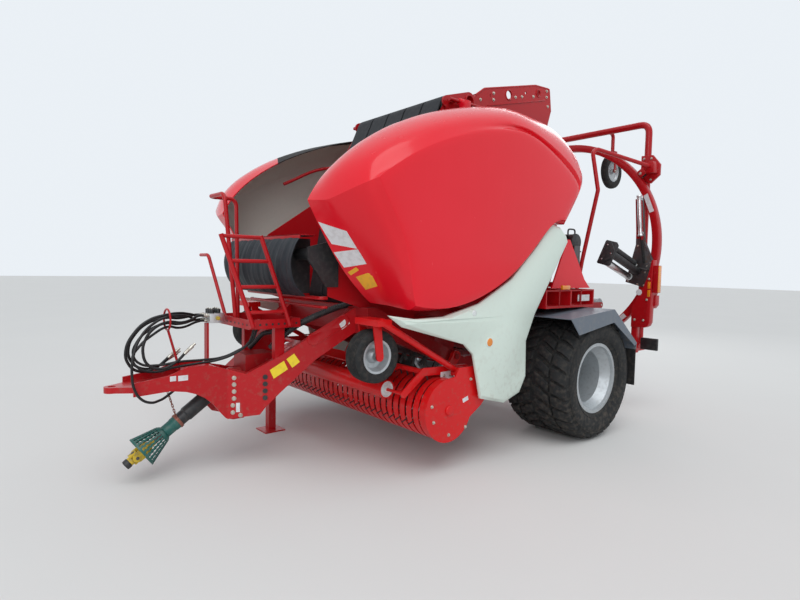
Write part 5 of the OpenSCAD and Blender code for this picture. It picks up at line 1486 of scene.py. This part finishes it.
# Corners of the first of three hoses, and how far the next one lies beside it.
HOSE_CORNERS = (((0.066, 0.88, 0.72), (0.01, 0.008)), ((0.066, 0.925, 0.56), (0.01, 0.01)),
                ((0.068, 0.985, 0.38), (0.008, 0.01)), ((0.066, 1.06, 0.2), (0.008, 0.012)),
                ((0.062, 1.12, 0.06), (0.006, 0.01)))
lines = [bent("line", [local(x + dx * k, y + dy * k, z) for (x, y, z), (dx, dy) in HOSE_CORNERS], 0.0055, 0.06, sides=3)
         for k in range(3)]
twice("ring_hoses", joined("ring_hoses", lines), hose_rubber)
STRIPS = (("upper", 17), ("lower", -52), ("far_upper", 153), ("far_lower", 222))
STRIP_DEGREES, STRIP_HALF = 10, 0.026
for word, start in STRIPS:
    low, high = math.radians(start), math.radians(start + STRIP_DEGREES)
    corners = [(RING_X + TUBE_HALF + 0.002, r * math.cos(a), RING_Z + r * math.sin(a)) for a, r in
               ((low, RING_R - STRIP_HALF), (high, RING_R - STRIP_HALF), (high, RING_R + STRIP_HALF),
                (low, RING_R + STRIP_HALF))]
    sticker("ring_strip_" + word, corners, ring, sticker_white, "ring", cuts=12)
print("strips on the ring:", len(STRIPS))

# %% [markdown]
# The columns carry two orange lenses each, a blank round plate and a long side strip,
# and below them hang the rear lamps: three red glasses in a black case.

# %% Reflectors, lamps and round plates of the columns
pair("column_reflectors", [soften(box("lens", (-1.3505, 1.208, z), (-1.3425, 1.238, z + 0.075)), 0.002)
                           for z in (1.285, 1.375)], orange_lens)
round_plate = soften(bar("round_plate", (-1.3508, 1.11, 1.33), (-1.3485, 1.11, 1.33), 0.034, 32), 0.0008, 1)
finished(both_sides(round_plate), sticker_white)
pair("lamp_case", [soften(box("case", (-1.478, 1.104, 0.684), (-1.446, 1.296, 0.816)), 0.006, 3)], black_plastic)
glass = [soften(box("glass", (-1.484, y0, 0.692), (-1.474, y1, 0.808)), 0.004, 3)
         for y0, y1 in ((1.11, 1.168), (1.172, 1.228), (1.232, 1.29))]
pair("rear_lamps", glass, red_lens, replaces="lamps")
strip = soften(box("side_strip", (-1.4285, 1.3102, 1.335), (-1.3615, 1.3155, 1.625)), 0.0015)
backing = soften(box("strip_backing", (-1.429, 1.256, 1.33), (-1.361, 1.3104, 1.63)), 0.003)
finished(both_sides(strip), orange_lens)
finished(both_sides(backing), frame_red)
print("glasses of a lamp:", len(glass))

# %% [markdown]
# Behind the left side panel stands a canister on a shelf, and the roll carriers on
# the fenders have posts between two rims, with a plate and an orange mark.

# %% Canister behind the side panel
CAN = (-0.15, 1.0, 1.835)
can = smooth(spun("canister", [(0.004, 0.068), (0.07, 0.066), (0.08, 0.06), (0.084, 0.048), (0.084, 0.04),
                               (0.08, 0.038), (0.08, -0.058), (0.074, -0.068), (0.004, -0.07)], CAN, steps=36), 30)
handle = bent("handle", [(-0.21, 1.0, 1.89), (-0.21, 1.0, 1.962), (-0.09, 1.0, 1.962), (-0.09, 1.0, 1.89)],
              0.008, 0.03)
strap = box("strap", (-0.19, 1.068, 1.6), (-0.09, 1.079, 1.8))
shelf = box("shelf", (-0.225, 0.93, 1.738), (-0.075, 1.07, 1.75))
fitted("canister_set", [can, handle], black_plastic)
finished(both_sides(soften(joined("canister_bracket", [strap, shelf]), 0.002)), dark_steel)
print("canister stands at", CAN)

# %% On the roll carriers
CARRIER_OUT = 1.2145
posts = [soften(box("post", (x - 0.006, 1.206, 1.236), (x + 0.006, CARRIER_OUT, 1.379)), 0.001, 1)
         for x in (-0.232, -0.02, 0.148, 0.33, 0.53)]
posts += [soften(box("rim", (-0.236, 1.206, low), (0.536, CARRIER_OUT, high)), 0.001, 1)
          for low, high in ((1.366, 1.379), (1.217, 1.236))]
blank = soften(box("plate", (-0.18, 1.199, 1.27), (0.02, 1.2045, 1.33)), 0.001, 1)
mark = soften(box("mark", (0.18, 1.2002, 1.383), (0.3, 1.224, 1.42)), 0.003)
pair("carrier_posts", posts, deep_red)
pair("carrier_plates", [blank], bright_steel)
pair("carrier_marks", [mark], orange_lens)
print("carrier pieces:", len(posts) + 2)

# %% [markdown]
# The frame on top of the tailgate gets its bolts, a rolled upper edge and pressed rims
# round the large holes.

# %% Top frame of the tailgate
WALL_OUT, EDGE_Y, LEFT = 0.615, 0.6105, (0, 1, 0)
rims = [spun("hole_rim", [(r, 0.0), (r + 0.01, 0.0), (r + 0.009, 0.005), (r + 0.004, 0.007), (r, 0.005)],
             (x, WALL_OUT, z), steps=32) for x, z, r in ((0.4, 3.225, 0.042), (-0.06, 3.34, 0.03))]
rims.append(bent("top_edge", [(x, EDGE_Y, z) for x, z in ((0.86, 3.13), (0.746, 3.211), (-0.014, 3.408),
                                                          (-0.246, 3.421), (-0.28, 3.2))], 0.009, 0.03))
fold_line = [(0.7, 3.06), (0.706, 3.07), (-0.17, 3.3), (-0.176, 3.29)]
rims.append(soften(plate("fold", fold_line, 0.007, "Y", WALL_OUT), 0.002))
rims.append(spun("tube_rim", [(0.0465, 0.0), (0.0562, 0.0), (0.0562, 0.012), (0.0545, 0.014), (0.0465, 0.014)],
                 (0.98, 0.6425, 3.04), steps=40))
finished(both_sides(smooth(joined("top_frame_rims", rims), 35)), frame_red, "tailgate")
TOP_BOLTS = ((0.62, 3.135), (0.62, 3.195), (0.3, 3.225), (0.2, 3.25), (-0.2, 3.33), (-0.2, 3.39),
             (-0.225, 3.24), (0.8, 3.1), (0.02, 3.29))
pair("top_frame_bolts", bolts([(x, WALL_OUT, z) for x, z in TOP_BOLTS], LEFT, 0.011, 0.008), zinc, "tailgate")
print("bolts of the top frame:", len(TOP_BOLTS))

# %% [markdown]
# The press roller of the pickup is a tube with welded bands and pale end caps, each
# with a hub. The end plates of the pickup carry bolts, a bearing cap and blank plates.

# %% Press roller and ends of the pickup
ROLLER_X, ROLLER_Z, PICKUP_OUT = 2.05, 0.635, 1.202
end_cap = spun("end_cap", [(0.013, 0.004), (0.026, 0.004), (0.028, -0.012), (0.05, -0.014), (0.056, -0.006),
                           (0.0612, -0.006), (0.0612, -0.016), (0.056, -0.02), (0.013, -0.022)],
               (ROLLER_X, 0.887, ROLLER_Z), steps=40)
finished(both_sides(smooth(end_cap, 30)), film_white, "press_roller", "silver_rim")
WELD = [(0.07, -0.006), (0.0706, -0.003), (0.0708, 0.0), (0.0706, 0.003), (0.07, 0.006)]
welds = [spun("weld", WELD, (ROLLER_X, y, ROLLER_Z), steps=40) for y in (-0.66, -0.33, 0.0, 0.33, 0.66)]
finished(smooth(joined("roller_welds", welds), 40), pickup_red, "press_roller")
badge = soften(box("strut_plate", (1.56, 1.0895, 0.7), (1.69, 1.0935, 0.76)), 0.001, 1)
label = plate("end_label", [(1.56, 0.555), (1.5, 0.572), (1.49, 0.54), (1.55, 0.523)], 0.0015, "Y", 1.2022)
pair("pickup_plates", [badge, soften(label, 0.0005, 1)], sticker_white, "pickup")
heads = bolts([(x, 1.0935, 0.73) for x in (1.59, 1.655)], LEFT, 0.009, 0.006)
PICKUP_BOLTS = ((1.37, 0.56), (1.37, 0.64), (1.47, 0.7), (1.7, 0.3), (1.86, 0.42), (1.88, 0.54),
                (1.52, 0.33))
heads += bolts([(x, PICKUP_OUT, z) for x, z in PICKUP_BOLTS], LEFT, 0.01, 0.008)
bearing = bar("bearing_cap", (1.7, PICKUP_OUT, 0.485), (1.7, PICKUP_OUT + 0.014, 0.485), 0.042, 28, 0.036)
soften(bearing, 0.003)
pair("pickup_bolts", heads, zinc, "pickup")
finished(both_sides(bearing), pickup_red, "pickup")
print("bolts of the pickup:", len(heads))

# %% [markdown]
# The back of the tailgate is a rolled sheet between its two walls. Flat ribs are welded
# round it, lower than the walls' edges, and a row of bolts follows each wall.

# %% Ribs and bolts of the tailgate
def on_wall(radius, degrees):
    angle = math.radians(degrees)
    return 0.43 + radius * math.cos(angle), 1.85 + radius * math.sin(angle)


angles = [112 + 4 * k for k in range(33)]
rib_outline = [on_wall(0.8995, a) for a in angles] + [on_wall(0.888, a) for a in reversed(angles)]
ribs = [plate("rib", rib_outline, 0.016, "Y", y - 0.008) for y in (-0.45, -0.15, 0.15, 0.45)]
finished(smooth(joined("tailgate_ribs", ribs), 25), frame_red, "tailgate")
places = [on_wall(0.865, 120 + 11 * k) for k in range(11)]
pair("tailgate_bolts", bolts([(x, WALL_OUT, z) for x, z in places], LEFT, 0.009, 0.006), zinc, "tailgate")
print("bolts of a wall:", len(places))

# %% [markdown]
# The wrapping table turns the bale on two rollers. Each is a steel tube with shallow
# worn tracks, closed by caps, and runs on a pin.

# %% Table rollers
TABLE_Z, TABLE_R, TRACK_R = 1.125, 0.0845, 0.0815
line = [(0.0125, -0.3495), (0.06, -0.3495), (0.062, -0.344), (0.078, -0.344), (TABLE_R, -0.338)]
tracks = [(r, y + a) for y in (-0.2, 0.0, 0.2) for r, a in
          ((TABLE_R, -0.03), (TRACK_R, -0.027), (TRACK_R, 0.027), (TABLE_R, 0.03))]
line = line + tracks + [(r, -a) for r, a in reversed(line)]
for word, x in (("front", -1.135), ("rear", -1.865)):
    body = "table_roller_" + word
    table_roll = smooth(spun("dressed_roller_" + word, line, (x, 0, TABLE_Z), steps=48), 35)
    finished(table_roll, roller_steel, body, replaces=body)
    finished(bar("roller_pin_" + word, (x, -0.375, TABLE_Z), (x, 0.375, TABLE_Z), 0.0118, 20), zinc, body)
print("tailgate and table dressed")

# %% [markdown]
# The studio is a plain pale floor under broad soft lamps. The world is a little
# brighter to the camera and in reflections than it is to the machine, so the
# background stays pale while the paint keeps its own colour.

# %% Studio
deselect()
bpy.ops.mesh.primitive_plane_add(size=120, location=(0, 0, 0))
floor = settle("studio_floor")
ground = Finish("studio_floor")
speckle = ground.noise(0.6, 3) * 0.06
ground.set(base_color=ground.mix((0.66, 0.66, 0.65), (0.72, 0.72, 0.71), speckle * 8), roughness=speckle + 0.85)
floor.data.materials.append(ground.material)
floor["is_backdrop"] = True

world = bpy.data.worlds.new("studio")
bpy.context.scene.world = world
world.use_nodes = True
tree = world.node_tree


def brightest(*sockets):
    node = tree.nodes.new("ShaderNodeMath")
    node.operation = "MAXIMUM"
    for socket, entry in zip(sockets, node.inputs):
        tree.links.new(socket, entry)
    return node.outputs[0]


rays = tree.nodes.new("ShaderNodeLightPath").outputs
seen = brightest(brightest(rays["Is Camera Ray"], rays["Is Transmission Ray"]), rays["Is Glossy Ray"])
strength = tree.nodes.new("ShaderNodeMapRange")
tree.links.new(seen, strength.inputs["Value"])
ON_THE_MACHINE, TO_THE_CAMERA = 0.56, 0.92
strength.inputs["To Min"].default_value = ON_THE_MACHINE
strength.inputs["To Max"].default_value = TO_THE_CAMERA
background = tree.nodes["Background"]
background.inputs["Color"].default_value = (0.9, 0.95, 1.0, 1)
tree.links.new(strength.outputs[0], background.inputs["Strength"])


def lamp(name, kind, place, aim, energy):
    deselect()
    bpy.ops.object.light_add(type=kind, location=place, rotation=Vector(aim).to_track_quat("-Z", "Y").to_euler())
    made = bpy.context.object
    made.name, made.data.energy = name, energy
    return made.data


LOOK_AT = Vector((0, 0, 1.2))
lamp("overcast_sky", "SUN", (2, 4, 9), (-0.22, -0.42, -1), 1.3).angle = 0.9
for name, place, energy in (("front_lamp", (7.5, 6.5, 4.5), 190), ("rear_lamp", (-8.0, -4.0, 6.0), 110)):
    disc = lamp(name, "AREA", place, LOOK_AT - Vector(place), energy)
    disc.shape, disc.size = "DISK", 5.0
bpy.context.scene.view_settings.view_transform = "Standard"
print("studio lit")

# %% [markdown]
# Last, the box round everything that is seen, the floor left out, is worked out.

# %% Finish
low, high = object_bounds()
